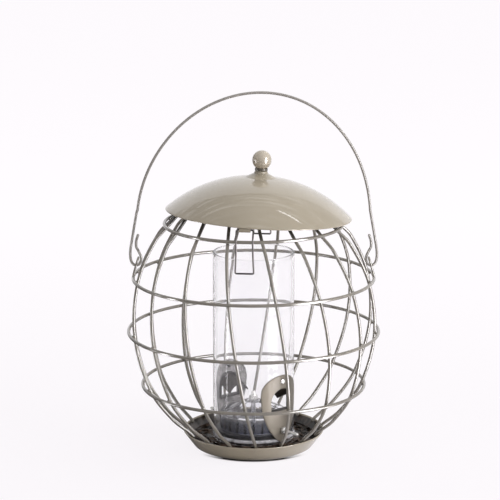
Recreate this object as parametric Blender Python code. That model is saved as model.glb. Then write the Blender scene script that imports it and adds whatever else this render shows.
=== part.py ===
"""Squirrel proof bird feeder: a wire globe on a dish, with a clear seed tube and a domed lid.

Metres, +Z up. The origin is the middle of the dish's underside, the front faces -Y, and angles
round the cage are measured from the front towards +X.
"""
import math

import bmesh
import bpy
from mathutils import Matrix, Vector

# Clearances and cutting
GAP = 0.0003
OVERRUN = 0.0040
MERGE = 0.00001

# Wires
BAR_WIRE = 0.0030
HOOP_WIRE = 0.0030
BAIL_WIRE = 0.0025
EYELET_WIRE = 0.0020
LATCH_WIRE = 0.0016

# Cage: centre lines of the level hoops, which are evenly spaced from the lowest up
NECK_RADIUS = 0.0600
HOOP_1_RADIUS = 0.0817
HOOP_2_RADIUS = 0.1105
HOOP_3_RADIUS = 0.1152
HOOP_4_RADIUS = 0.1025
HOOP_4_HEIGHT = 0.0583
HOOP_PITCH = 0.0504
NECK_RISE = 0.0236
BAR_COUNT = 16
BAR_LEAN = math.radians(8.2)
BAR_START = math.radians(5.6)
BAR_TOP_STUB = 0.0022
BAR_SHOULDER_SHARE = 0.30
BAR_SHOULDER = 0.0039
BAR_BELLY_SHARE = 0.61
BAR_BELLY = 0.0034
BAR_RIM_INSET = 0.0021
BAR_RIM_RISE = 0.0020
BAR_FOOT_INSET = 0.0024
BAR_FOOT_DROP = 0.0028

# Dish
TRAY_FOOT_RADIUS = 0.0550
TRAY_RIM_RADIUS = 0.0653
TRAY_HEIGHT = 0.0146
TRAY_WALL = 0.0012
TRAY_FILLET = 0.0030

# Drain plate in the dish
PLATE_TOP = 0.0075
PLATE_WALL = 0.0010
PLATE_SKIRT_RADIUS = 0.0430
DRAIN_RADIUS = 0.0032
DRAIN_CIRCLE = 0.0475
DRAIN_COUNT = 16

# Seed tube and what stands in it
TUBE_RADIUS = 0.0374
TUBE_WALL = 0.0020
TUBE_TOP = 0.1830
PLUG_HEIGHT = 0.0090
PLUG_WALL = 0.0018
DEFLECTOR_INSET = 0.0039
DEFLECTOR_SHOULDER = 0.0320
DEFLECTOR_TOP = 0.0420
DEFLECTOR_HUB = 0.0070
DEFLECTOR_WALL = 0.0015
DEFLECTOR_SIDES = 12
STUD_RADIUS = 0.0020
STUD_TOP = 0.0500
NUT_RADIUS = 0.0042
NUT_HEIGHT = 0.0040

# Feeding ports: heights are above the floor, widths are straight across
PORT_ANGLE = math.radians(43.0)
PORT_PLATE_WALL = 0.0012
PORT_HALF_WIDTH = 0.0203
PORT_TOP = 0.0732
PORT_SHOULDER = 0.0580
PORT_WAIST = 0.0500
PORT_TIP = 0.0092
OPENING_HALF_WIDTH = 0.0120
OPENING_SPRING = 0.0485
OPENING_SILL = 0.0395
HOOD_WALL = 0.0012
HOOD_SLEEVE_DEPTH = 0.0062
HOOD_REACH = 0.0110
HOOD_DROP = 0.0085
HOOD_SPRING_ANGLE = math.radians(25.0)
PORT_SCREW_HEIGHT = 0.0675
PORT_SCREW_RADIUS = 0.0012
PORT_SCREW_LENGTH = 0.0060
PORT_SCREW_HEAD_RADIUS = 0.0024
PORT_SCREW_HEAD_HEIGHT = 0.0015
PERCH_HEIGHT = 0.0209
PERCH_RADIUS = 0.0015
PERCH_LENGTH = 0.0205
PERCH_HEAD_RADIUS = 0.0030
PERCH_HEAD_HEIGHT = 0.0016
PERCH_NUT_RADIUS = 0.0035
PERCH_NUT_HEIGHT = 0.0026

# Lid: a spherical cap that sits a little off centre on the neck ring and leans to its low side
LID_SPHERE = 0.1243
LID_OVERHANG = 0.0037
LID_SHIFT = 0.0007
LID_WALL = 0.0012
LID_LEAN = math.radians(4.25)
LID_LOW_SIDE = math.radians(127.3)
COLLAR_RADIUS = 0.0141
COLLAR_TOP_RADIUS = 0.0058
COLLAR_HEIGHT = 0.0050
COLLAR_EDGE = 0.0004
COLLAR_CURVE = 1.3
BALL_RADIUS = 0.0089
BALL_NECK_RADIUS = 0.0058
BALL_NECK_HEIGHT = 0.0031
FINIAL_SCREW_RADIUS = 0.0020
FINIAL_SCREW_HEAD_RADIUS = 0.0042
FINIAL_SCREW_HEAD_HEIGHT = 0.0024
FINIAL_SCREW_GRIP = 0.0080

# Latches: they turn right above the first hoop, pass outside it and catch below it
LATCH_ANGLE = math.radians(-5.7)
LATCH_INSET = 0.0035
LATCH_TOP_WIDTH = 0.0150
LATCH_FOOT_WIDTH = 0.0165
LATCH_CATCH = 0.0012
LATCH_RAMP = 0.0085
LATCH_DROP = 0.0280
LATCH_BEND = 0.0016
BRACKET_LENGTH = 0.0100
BRACKET_RADIUS = 0.0022
LATCH_END_GAP = 0.0012

# Bail: an oval arch with hooked ends, leaning a little to the right as bent by hand.
# Its legs and hooks lie a little inside the second hoop, at heights above it
BAIL_INSET = 0.0037
BAIL_LEG_RISE = 0.0505
BAIL_RISE = 0.1207
BAIL_SKEW = 0.0065
BAIL_SKEW_CURVE = 1.5
BAIL_ARCH_START = math.radians(5.8)
HOOK_INSET = 0.0025
HOOK_RISE = 0.0109
HOOK_WIDTH = 0.0098
HOOK_TIP = 0.0282

# Eyelets on the second hoop
EYELET_HALF_WIDTH = 0.0045
EYELET_RISE = 0.0181
EYELET_LEAN_IN = 0.0048
EYELET_BEND_SHARE = 0.9

# Facets
HOOP_SEGMENTS = 48
NECK_SEGMENTS = 32
TURN_SEGMENTS = 36
FINIAL_SEGMENTS = 20
SMALL_SEGMENTS = 10
DRAIN_SEGMENTS = 8
WIRE_RESOLUTION = 1
BAR_SPAN_STEPS = (1, 3, 2, 2, 4, 3, 2, 2, 1)
RING_SPANS = (1, 2, 4, 5, 6)
DOME_STEPS = 8
LID_SEGMENTS = 48
PLATE_STEPS = 7
COLLAR_STEPS = 3
BALL_STEPS = 7
BAIL_ARCH_STEPS = 24
HOOK_STEPS = (3, 2, 1, 1, 1, 1, 1, 2, 1, 1, 1)

HOOP_3_HEIGHT = HOOP_4_HEIGHT + HOOP_PITCH
HOOP_2_HEIGHT = HOOP_3_HEIGHT + HOOP_PITCH
HOOP_1_HEIGHT = HOOP_2_HEIGHT + HOOP_PITCH
NECK_HEIGHT = HOOP_1_HEIGHT + NECK_RISE
HOOPS = (
    ("hoop_1", HOOP_1_RADIUS, HOOP_1_HEIGHT),
    ("hoop_2", HOOP_2_RADIUS, HOOP_2_HEIGHT),
    ("hoop_3", HOOP_3_RADIUS, HOOP_3_HEIGHT),
    ("hoop_4", HOOP_4_RADIUS, HOOP_4_HEIGHT),
)
PORTS = (("front", PORT_ANGLE), ("rear", PORT_ANGLE + math.pi))
LATCHES = (("front", LATCH_ANGLE), ("rear", LATCH_ANGLE + math.pi))

# Colour, metallic and roughness of each finish
FINISHES = {
    "enamel": ((0.40, 0.37, 0.32, 1.0), 0.0, 0.30),
    "plate_enamel": ((0.37, 0.34, 0.29, 1.0), 0.0, 0.35),
    "bright_metal": ((0.70, 0.69, 0.67, 1.0), 1.0, 0.25),
    "latch_metal": ((0.42, 0.40, 0.38, 1.0), 1.0, 0.35),
    "dark_plate": ((0.035, 0.026, 0.020, 1.0), 0.0, 0.45),
    "dark_plastic": ((0.030, 0.028, 0.030, 1.0), 0.0, 0.40),
    "hood_plastic": ((0.060, 0.048, 0.038, 1.0), 0.0, 0.45),
    "clear_plastic": ((0.90, 0.90, 0.91, 0.35), 0.0, 0.05),
    "smoky_plastic": ((0.45, 0.46, 0.50, 0.55), 0.0, 0.12),
}


def clear_scene():
    for item in list(bpy.data.objects):
        bpy.data.objects.remove(item, do_unlink=True)


def finish(name, kind):
    """A Principled material for one sub-part."""
    color, metallic, roughness = FINISHES[kind]
    material = bpy.data.materials.new(name)
    material.use_nodes = True
    shader = material.node_tree.nodes["Principled BSDF"]
    shader.inputs["Base Color"].default_value = color
    shader.inputs["Metallic"].default_value = metallic
    shader.inputs["Roughness"].default_value = roughness
    shader.inputs["Alpha"].default_value = color[3]
    material.diffuse_color = color
    return material


def place(name, data, kind, matrix=None, parent=None):
    """Link mesh or curve data as one named sub-part."""
    item = bpy.data.objects.new(name, data)
    bpy.context.collection.objects.link(item)
    item.parent = parent
    item.matrix_local = matrix or Matrix()
    data.materials.append(finish(name, kind))
    return item


def guide(name, matrix):
    """An empty that carries pieces which share one joint."""
    item = bpy.data.objects.new(name, None)
    bpy.context.collection.objects.link(item)
    item.matrix_local = matrix
    return item


def mesh_from(bm, name, smooth=True):
    bmesh.ops.remove_doubles(bm, verts=bm.verts, dist=MERGE)
    bmesh.ops.recalc_face_normals(bm, faces=bm.faces)
    mesh = bpy.data.meshes.new(name)
    bm.to_mesh(mesh)
    bm.free()
    if smooth:
        mesh.shade_smooth()
        mesh.set_sharp_from_angle(angle=math.radians(35.0))
    return mesh


def turned_mesh(name, profile, segments=TURN_SEGMENTS, smooth=True):
    """Turn a section in the XZ plane about Z; a section that leaves the axis is closed."""
    bm = bmesh.new()
    verts = [bm.verts.new((radius, 0, height)) for radius, height in profile]
    edges = [bm.edges.new(pair) for pair in zip(verts, verts[1:])]
    if profile[0][0] > 0 and profile[-1][0] > 0:
        edges.append(bm.edges.new((verts[-1], verts[0])))
    bmesh.ops.spin(bm, geom=verts + edges, cent=(0, 0, 0), axis=(0, 0, 1), dvec=(0, 0, 0),
                   angle=math.tau, steps=segments, use_merge=True, use_duplicate=False)
    return mesh_from(bm, name, smooth)


def prism_mesh(name, outline, near, far, shift=0):
    """Extrude an outline of (across, height) pairs between two depths, dropping it by shift."""
    bm = bmesh.new()
    ends = []
    for depth, drop in ((near, 0), (far, shift)):
        ends.append([bm.verts.new((across, -depth, height - drop)) for across, height in outline])
    bm.faces.new(ends[0])
    bm.faces.new(ends[1])
    for index in range(len(outline)):
        after = (index + 1) % len(outline)
        bm.faces.new((ends[0][index], ends[0][after], ends[1][after], ends[1][index]))
    return mesh_from(bm, name, smooth=False)


def boolean(item, tool, operation="DIFFERENCE"):
    modifier = item.modifiers.new(tool.name, "BOOLEAN")
    modifier.operation = operation
    modifier.solver = "EXACT"
    modifier.object = tool


def cutter(name, mesh, matrix=None, parent=None):
    """A hidden shape that cuts, trims or joins another."""
    item = bpy.data.objects.new(name, mesh)
    bpy.context.collection.objects.link(item)
    item.parent = parent
    item.matrix_local = matrix or Matrix()
    item.hide_render = True
    item.display_type = "WIRE"
    return item


def wire(name, points, thickness, kind, cyclic=False, matrix=None, parent=None):
    """A round wire along points."""
    curve = bpy.data.curves.new(name, "CURVE")
    curve.dimensions = "3D"
    curve.bevel_depth = thickness / 2
    curve.bevel_resolution = WIRE_RESOLUTION
    curve.use_fill_caps = True
    curve.render_resolution_u = 0
    spline = curve.splines.new("POLY")
    spline.points.add(len(points) - 1)
    for point, place_of in zip(spline.points, points):
        point.co = (*place_of, 1)
    spline.use_cyclic_u = cyclic
    return place(name, curve, kind, matrix, parent)


def smooth_path(points, steps):
    """A smooth curve through points, with a number of steps for each span."""
    path = [points[0]]
    for index, count in enumerate(steps):
        before = points[max(index - 1, 0)]
        start, end = points[index], points[index + 1]
        after = points[min(index + 2, len(points) - 1)]
        length = (end - start).length
        leave = (end - before).normalized() * length
        arrive = (after - start).normalized() * length
        for step in range(1, count + 1):
            t = step / count
            path.append(start * (2 * t**3 - 3 * t**2 + 1) + leave * (t**3 - 2 * t**2 + t)
                        + end * (3 * t**2 - 2 * t**3) + arrive * (t**3 - t**2))
    return path


def rounded_path(points, radius, steps=3):
    """Straight runs with their corners rounded off."""
    path = [points[0]]
    for before, corner, after in zip(points, points[1:], points[2:]):
        back, ahead = before - corner, after - corner
        reach = min(radius, back.length / 2, ahead.length / 2)
        start = corner + back.normalized() * reach
        end = corner + ahead.normalized() * reach
        for step in range(steps + 1):
            t = step / steps
            path.append(start * (1 - t)**2 + corner * (2 * t * (1 - t)) + end * t**2)
    path.append(points[-1])
    return path


def arc(radius, start, end, steps, center=(0, 0)):
    """Points of an arc, with angles measured from the vertical axis."""
    angles = [start + (end - start) * step / steps for step in range(steps + 1)]
    return [(center[0] + radius * math.sin(a), center[1] + radius * math.cos(a)) for a in angles]


def turned_about(angle):
    return Matrix.Rotation(angle, 4, "Z")


# Places that several pieces share

WALL_LENGTH = math.hypot(TRAY_RIM_RADIUS - TRAY_FOOT_RADIUS, TRAY_HEIGHT)
WALL_SPREAD = (TRAY_RIM_RADIUS - TRAY_FOOT_RADIUS) / TRAY_HEIGHT
WALL_ACROSS = TRAY_WALL * WALL_LENGTH / TRAY_HEIGHT
TUBE_FLOOR = PLATE_TOP + GAP
PLUG_TOP = TUBE_FLOOR + PLUG_HEIGHT
TUBE_BORE = TUBE_RADIUS - TUBE_WALL
DEFLECTOR_RADIUS = TUBE_BORE - DEFLECTOR_INSET
PORT_PLATE_INNER = TUBE_RADIUS + GAP
PORT_PLATE_OUTER = PORT_PLATE_INNER + PORT_PLATE_WALL
LID_INNER = LID_SPHERE - LID_WALL
LID_SEAT = LID_INNER - GAP - HOOP_WIRE / 2
LID_CENTER = NECK_HEIGHT - math.sqrt(LID_SEAT**2 - (NECK_RADIUS + LID_SHIFT)**2)
LID_PLACE = Vector((-LID_SHIFT, 0, LID_CENTER))
LID_RADIUS = HOOP_1_RADIUS + LID_OVERHANG
BRACKET_SEAT = LID_INNER - GAP - BRACKET_RADIUS
LATCH_RADIUS = HOOP_1_RADIUS - LATCH_INSET
BAIL_HALF_WIDTH = HOOP_2_RADIUS - BAIL_INSET
BAIL_ARCH_BASE = HOOP_2_HEIGHT + BAIL_LEG_RISE
HOOK_SPREAD = HOOP_2_RADIUS - HOOK_INSET
HOOK_HEIGHT = HOOP_2_HEIGHT + HOOK_RISE
EYELET_TOP = HOOP_2_HEIGHT + EYELET_RISE


def swelled(start, end, share, swell):
    """A point at a share of the way down the section, pushed outwards from the straight line."""
    fall = end - start
    return start + fall * share + Vector((-fall.y, fall.x)).normalized() * swell


def bar_section():
    """The bars' centre line as (radius, height) points: inside every hoop, then over the dish's rim."""
    rings = [Vector((NECK_RADIUS, NECK_HEIGHT))]
    rings += [Vector((radius, height)) for _, radius, height in HOOPS]
    rim = Vector((TRAY_RIM_RADIUS - BAR_RIM_INSET, TRAY_HEIGHT + BAR_RIM_RISE))
    line = rings + [rim]
    seats = []
    for index, ring in enumerate(rings):
        along = (line[index + 1] - line[max(index - 1, 0)]).normalized()
        inward = Vector((along.y, -along.x))
        seats.append(ring + inward * ((BAR_WIRE + HOOP_WIRE) / 2 + GAP))
    top = seats[0] + (seats[0] - seats[1]).normalized() * BAR_TOP_STUB
    shoulder = swelled(seats[1], seats[2], BAR_SHOULDER_SHARE, BAR_SHOULDER)
    belly = swelled(seats[-1], rim, BAR_BELLY_SHARE, BAR_BELLY)
    foot = rim - Vector((BAR_FOOT_INSET, BAR_FOOT_DROP))
    return [top, *seats[:2], shoulder, *seats[2:], belly, rim, foot]


def bar_path():
    """The bar's centre line in space and its turn round the cage at each point."""
    section = smooth_path(bar_section(), BAR_SPAN_STEPS)
    turns = [0]
    for start, end in zip(section, section[1:]):
        middle = (start.x + end.x) / 2
        turns.append(turns[-1] + math.tan(BAR_LEAN) * (end - start).length / middle)
    hoop_1_index = sum(BAR_SPAN_STEPS[:2])
    return section, [turn - turns[hoop_1_index] for turn in turns]


def around(radius, angle, height):
    """A point at a radius and an angle from the front."""
    return Vector((radius * math.sin(angle), -radius * math.cos(angle), height))


def build_cage_wires():
    section, turns = bar_path()
    for index in range(BAR_COUNT):
        start = BAR_START + math.tau * index / BAR_COUNT
        points = [around(p.x, start + turn, p.y) for p, turn in zip(section, turns)]
        wire(f"bar_{index + 1:02d}", points, BAR_WIRE, "enamel")
    rings = [("hoop_neck", NECK_RADIUS, NECK_HEIGHT, NECK_SEGMENTS)]
    rings += [(*hoop, HOOP_SEGMENTS) for hoop in HOOPS]
    for (name, radius, height, segments), spans in zip(rings, RING_SPANS):
        first = BAR_START + turns[sum(BAR_SPAN_STEPS[:spans])]
        angles = [first + math.tau * step / segments for step in range(segments)]
        wire(name, [around(radius, a, height) for a in angles], HOOP_WIRE, "enamel", cyclic=True)


def build_eyelets():
    """Each loop stands on the second hoop and leans in with the globe."""
    lean = math.atan2(EYELET_LEAN_IN, EYELET_TOP - HOOP_2_HEIGHT)
    foot = HOOP_2_HEIGHT + HOOP_WIRE / 2 + GAP + EYELET_WIRE / 2 * math.sin(lean)
    for name, side in (("left", -1), ("right", 1)):
        low = Vector((side * HOOP_2_RADIUS, -EYELET_HALF_WIDTH, foot))
        high = Vector((side * (HOOP_2_RADIUS - EYELET_LEAN_IN), -EYELET_HALF_WIDTH, EYELET_TOP))
        corners = [low, high, high + Vector((0, 2 * EYELET_HALF_WIDTH, 0)),
                   low + Vector((0, 2 * EYELET_HALF_WIDTH, 0))]
        path = rounded_path(corners, EYELET_HALF_WIDTH * EYELET_BEND_SHARE, steps=4)
        wire(f"eyelet_{name}", path, EYELET_WIRE, "enamel")


def build_tray():
    """A pressed dish with a flat foot, a flared wall and a rounded rim."""
    wall_angle = math.atan2(TRAY_RIM_RADIUS - TRAY_FOOT_RADIUS, TRAY_HEIGHT)
    turn = math.pi / 2 - wall_angle
    reach = TRAY_FILLET * math.tan(turn / 2)
    fillet_center = (TRAY_FOOT_RADIUS - reach, TRAY_FILLET)
    profile = [(0, 0)]
    profile += arc(TRAY_FILLET, math.pi, math.pi - turn, 3, fillet_center)
    profile.append((TRAY_RIM_RADIUS, TRAY_HEIGHT - TRAY_WALL / 2))
    profile.append((TRAY_RIM_RADIUS - WALL_ACROSS / 2, TRAY_HEIGHT))
    profile.append((TRAY_RIM_RADIUS - WALL_ACROSS, TRAY_HEIGHT - TRAY_WALL / 2))
    inner = TRAY_FOOT_RADIUS + WALL_SPREAD * TRAY_WALL - WALL_ACROSS
    profile += [(inner, TRAY_WALL), (0, TRAY_WALL)]
    place("tray", turned_mesh("tray", profile), "enamel")


def build_drain_plate():
    """A perforated plate on a short skirt, just inside the dish."""
    edge = TRAY_FOOT_RADIUS + WALL_SPREAD * (PLATE_TOP - PLATE_WALL) - WALL_ACROSS - 2 * GAP
    under = PLATE_TOP - PLATE_WALL
    floor = TRAY_WALL + GAP
    bore = STUD_RADIUS + GAP
    inside = PLATE_SKIRT_RADIUS - PLATE_WALL
    profile = [(bore, PLATE_TOP), (edge, PLATE_TOP), (edge, under), (PLATE_SKIRT_RADIUS, under),
               (PLATE_SKIRT_RADIUS, floor), (inside, floor), (inside, under), (bore, under)]
    plate = turned_mesh("drain_plate", profile, 2 * DRAIN_COUNT)
    plate = place("drain_plate", plate, "dark_plate")
    bm = bmesh.new()
    for index in range(DRAIN_COUNT):
        spot = around(DRAIN_CIRCLE, math.tau * (index + 1 / 4) / DRAIN_COUNT, PLATE_TOP)
        bmesh.ops.create_cone(bm, cap_ends=True, segments=DRAIN_SEGMENTS, radius1=DRAIN_RADIUS,
                              radius2=DRAIN_RADIUS, depth=2 * OVERRUN,
                              matrix=Matrix.Translation(spot))
    boolean(plate, cutter("drain_holes", mesh_from(bm, "drain_holes", smooth=False)))


def build_tube():
    """The clear tube, with an arched hole and two small holes for each port."""
    profile = [(TUBE_BORE, TUBE_FLOOR), (TUBE_RADIUS, TUBE_FLOOR), (TUBE_RADIUS, TUBE_TOP),
               (TUBE_BORE, TUBE_TOP)]
    tube = place("seed_tube", turned_mesh("seed_tube", profile), "clear_plastic")
    for name, angle in PORTS:
        turn = turned_about(angle)
        near, far = TUBE_BORE / 2, TUBE_RADIUS + OVERRUN
        hole = opening_outline(HOOD_WALL + GAP)
        boolean(tube, cutter(f"tube_port_{name}", prism_mesh("tube_port", hole, near, far), turn))
        for spot, height, radius in (("screw", PORT_SCREW_HEIGHT, PORT_SCREW_RADIUS),
                                     ("perch", PERCH_HEIGHT, PERCH_RADIUS)):
            hole = round_cutter(f"tube_{spot}_{name}", radius + GAP, height, near, far, turn)
            boolean(tube, hole)


def round_cutter(name, radius, height, near, far, turn):
    """A round hole tool that points out of the tube at a height."""
    mesh = turned_mesh(name, [(0, near), (radius, near), (radius, far), (0, far)], SMALL_SEGMENTS)
    return cutter(name, mesh, turn @ outward(height))


def outward(height):
    """Local +Z along the port's outward direction, at a height on the cage axis."""
    return Matrix.Translation((0, 0, height)) @ Matrix.Rotation(math.pi / 2, 4, "X")


def build_plug():
    """An inverted cup that closes the tube's foot."""
    outer = TUBE_BORE - GAP
    bore = STUD_RADIUS + GAP
    deck = PLUG_TOP - PLUG_WALL
    profile = [(bore, PLUG_TOP), (outer, PLUG_TOP), (outer, TUBE_FLOOR),
               (outer - PLUG_WALL, TUBE_FLOOR), (outer - PLUG_WALL, deck), (bore, deck)]
    place("tube_plug", turned_mesh("tube_plug", profile), "dark_plastic")


def build_deflector():
    """A twelve-sided hollow moulding: upright sides with a low cone on top."""
    foot = PLUG_TOP + GAP
    bore = STUD_RADIUS + GAP
    inner = DEFLECTOR_RADIUS - DEFLECTOR_WALL
    profile = [(bore, DEFLECTOR_TOP), (DEFLECTOR_HUB, DEFLECTOR_TOP),
               (DEFLECTOR_RADIUS, DEFLECTOR_SHOULDER), (DEFLECTOR_RADIUS, foot), (inner, foot),
               (inner, DEFLECTOR_SHOULDER - DEFLECTOR_WALL),
               (DEFLECTOR_HUB, DEFLECTOR_TOP - DEFLECTOR_WALL), (bore, DEFLECTOR_TOP - DEFLECTOR_WALL)]
    mesh = turned_mesh("seed_deflector", profile, DEFLECTOR_SIDES, smooth=False)
    place("seed_deflector", mesh, "smoky_plastic")


def build_stud():
    """The stud stands on the dish and its nut clamps the deflector."""
    floor = TRAY_WALL + GAP
    chamfer = STUD_RADIUS / 4
    profile = [(0, floor), (STUD_RADIUS, floor), (STUD_RADIUS, STUD_TOP - chamfer),
               (STUD_RADIUS - chamfer, STUD_TOP), (0, STUD_TOP)]
    place("tray_stud", turned_mesh("tray_stud", profile, SMALL_SEGMENTS), "bright_metal")
    foot = DEFLECTOR_TOP + GAP
    place("stud_nut", nut_mesh("stud_nut", STUD_RADIUS + GAP, NUT_RADIUS, foot, NUT_HEIGHT),
          "bright_metal")


def nut_mesh(name, bore, radius, foot, height):
    """A plain hexagon nut with chamfered corners."""
    chamfer = (radius - bore) / 4
    top = foot + height
    profile = [(bore, foot), (radius - chamfer, foot), (radius, foot + chamfer),
               (radius, top - chamfer), (radius - chamfer, top), (bore, top)]
    return turned_mesh(name, profile, 6, smooth=False)


def opening_outline(grow=0):
    """Arched opening with a flat sill, grown evenly when a piece must clear it."""
    half = OPENING_HALF_WIDTH + grow
    arch = arc(half, math.pi / 2, -math.pi / 2, 12, (0, OPENING_SPRING))
    sill = OPENING_SILL - grow
    return [(half, sill)] + arch + [(-half, sill)]


def plate_outline():
    """Shield outline: an oval top and sides that draw in to a blunt tip."""
    crown = PORT_TOP - PORT_SHOULDER
    top = [(PORT_HALF_WIDTH * math.sin(a), PORT_SHOULDER + crown * math.cos(a))
           for a in (math.pi / 2 * (1 - step / PLATE_STEPS) for step in range(2 * PLATE_STEPS + 1))]
    depth = PORT_WAIST - PORT_TIP
    falls = [math.sin(math.pi / 2 * step / PLATE_STEPS) for step in range(PLATE_STEPS + 1)]
    side = [(PORT_HALF_WIDTH * (1 - fall**2)**(2 / 3), PORT_WAIST - depth * fall) for fall in falls]
    left = [(-across, height) for across, height in side]
    right = [(across, height) for across, height in reversed(side[:-1])]
    return top + left + right


def build_ports():
    for name, angle in PORTS:
        turn = turned_about(angle)
        build_port_plate(name, turn)
        build_port_hood(name, turn)
        build_port_screw(name, turn)
        build_perch(name, turn)


def build_port_plate(name, turn):
    """A strip of tube wall outside the seed tube, trimmed to the shield outline."""
    low, high = PORT_TIP - OVERRUN, PORT_TOP + OVERRUN
    profile = [(PORT_PLATE_INNER, low), (PORT_PLATE_OUTER, low), (PORT_PLATE_OUTER, high),
               (PORT_PLATE_INNER, high)]
    node = f"port_plate_{name}"
    plate = place(node, turned_mesh(node, profile, TURN_SEGMENTS), "plate_enamel", turn)
    near, far = PORT_PLATE_INNER / 4, PORT_PLATE_OUTER + OVERRUN
    blank = cutter(f"plate_outline_{name}", prism_mesh("plate_outline", plate_outline(), near, far), turn)
    boolean(plate, blank, "INTERSECT")
    hole = prism_mesh("plate_opening", opening_outline(), near / 2, far + OVERRUN)
    boolean(plate, cutter(f"plate_opening_{name}", hole, turn))
    for spot, height, radius in (("screw", PORT_SCREW_HEIGHT, PORT_SCREW_RADIUS),
                                 ("perch", PERCH_HEIGHT, PERCH_RADIUS)):
        boolean(plate, round_cutter(f"plate_{spot}_{name}", radius + GAP, height, near, far, turn))


def build_port_hood(name, turn):
    """A sleeve through the tube wall, with an awning that slopes in and down over the seed."""
    node = f"port_hood_{name}"
    inner_end = TUBE_RADIUS - HOOD_SLEEVE_DEPTH
    sleeve = prism_mesh(node, opening_outline(HOOD_WALL), inner_end, TUBE_RADIUS + OVERRUN)
    hood = place(node, sleeve, "hood_plastic", turn)
    bore = prism_mesh("hood_bore", opening_outline(), inner_end - OVERRUN, TUBE_RADIUS + 2 * OVERRUN)
    boolean(hood, cutter(f"hood_bore_{name}", bore, turn))
    span = math.pi / 2 - HOOD_SPRING_ANGLE
    center = (0, OPENING_SPRING)
    outside = arc(OPENING_HALF_WIDTH + HOOD_WALL, span, -span, 8, center)
    inside = arc(OPENING_HALF_WIDTH, -span, span, 8, center)
    overlap = HOOD_WALL / 4
    awning = prism_mesh("hood_awning", outside + inside, inner_end + overlap,
                        inner_end - HOOD_REACH, HOOD_DROP)
    boolean(hood, cutter(f"hood_awning_{name}", awning, turn), "UNION")
    skin = [(0, OPENING_SILL - OVERRUN), (TUBE_RADIUS, OPENING_SILL - OVERRUN),
            (TUBE_RADIUS, PORT_TOP), (0, PORT_TOP)]
    boolean(hood, cutter(f"hood_skin_{name}", turned_mesh("hood_skin", skin), turn), "INTERSECT")


def build_port_screw(name, turn):
    """A pan-head screw that holds the plate to the tube."""
    seat = PORT_PLATE_OUTER + GAP
    top = seat + PORT_SCREW_HEAD_HEIGHT
    profile = [(0, seat - PORT_SCREW_LENGTH), (PORT_SCREW_RADIUS, seat - PORT_SCREW_LENGTH),
               (PORT_SCREW_RADIUS, seat), (PORT_SCREW_HEAD_RADIUS, seat),
               (PORT_SCREW_HEAD_RADIUS, seat + PORT_SCREW_HEAD_HEIGHT / 2),
               (PORT_SCREW_HEAD_RADIUS / 2, top), (0, top)]
    node = f"port_screw_{name}"
    place(node, turned_mesh(node, profile, SMALL_SEGMENTS), "bright_metal",
          turn @ outward(PORT_SCREW_HEIGHT))


def build_perch(name, turn):
    """A round-ended rod with a head inside the tube and a nut outside the plate."""
    head_top = math.sqrt(TUBE_BORE**2 - PERCH_HEAD_RADIUS**2) - GAP
    head_foot = head_top - PERCH_HEAD_HEIGHT
    end = PORT_PLATE_OUTER + PERCH_LENGTH
    crown = [(radius, end - PERCH_RADIUS + rise)
             for radius, rise in arc(PERCH_RADIUS, math.pi / 2, 0, 3)]
    profile = [(0, head_foot), (PERCH_HEAD_RADIUS, head_foot), (PERCH_HEAD_RADIUS, head_top),
               (PERCH_RADIUS, head_top)] + crown[:-1] + [(0, end)]
    matrix = turn @ outward(PERCH_HEIGHT)
    place(f"perch_{name}", turned_mesh(f"perch_{name}", profile, SMALL_SEGMENTS), "bright_metal",
          matrix)
    node = f"perch_nut_{name}"
    nut = nut_mesh(node, PERCH_RADIUS + GAP, PERCH_NUT_RADIUS, PORT_PLATE_OUTER + GAP,
                   PERCH_NUT_HEIGHT)
    place(node, nut, "bright_metal", matrix)


def lid_matrix():
    """The lid's frame: the dome's centre of curvature, leaned towards its low side."""
    axis = Vector((math.cos(LID_LOW_SIDE), math.sin(LID_LOW_SIDE), 0))
    return Matrix.Translation(LID_PLACE) @ Matrix.Rotation(LID_LEAN, 4, axis)


def build_lid():
    frame = guide("lid_axis", lid_matrix())
    bore = FINIAL_SCREW_RADIUS + GAP
    rim = math.asin(LID_RADIUS / LID_SPHERE)
    outer = arc(LID_SPHERE, math.asin(bore / LID_SPHERE), rim, DOME_STEPS)
    inner = arc(LID_INNER, rim, math.asin(bore / LID_INNER), DOME_STEPS)
    middle = LID_SPHERE - LID_WALL / 2
    edge = rim + LID_WALL / 2 / LID_SPHERE
    lip = [(middle * math.sin(edge), middle * math.cos(edge))]
    dome = turned_mesh("lid_dome", outer + lip + inner, LID_SEGMENTS)
    place("lid_dome", dome, "enamel", parent=frame)
    build_finial(frame, bore)
    for name, angle in LATCHES:
        build_latch(name, angle, frame)


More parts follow.
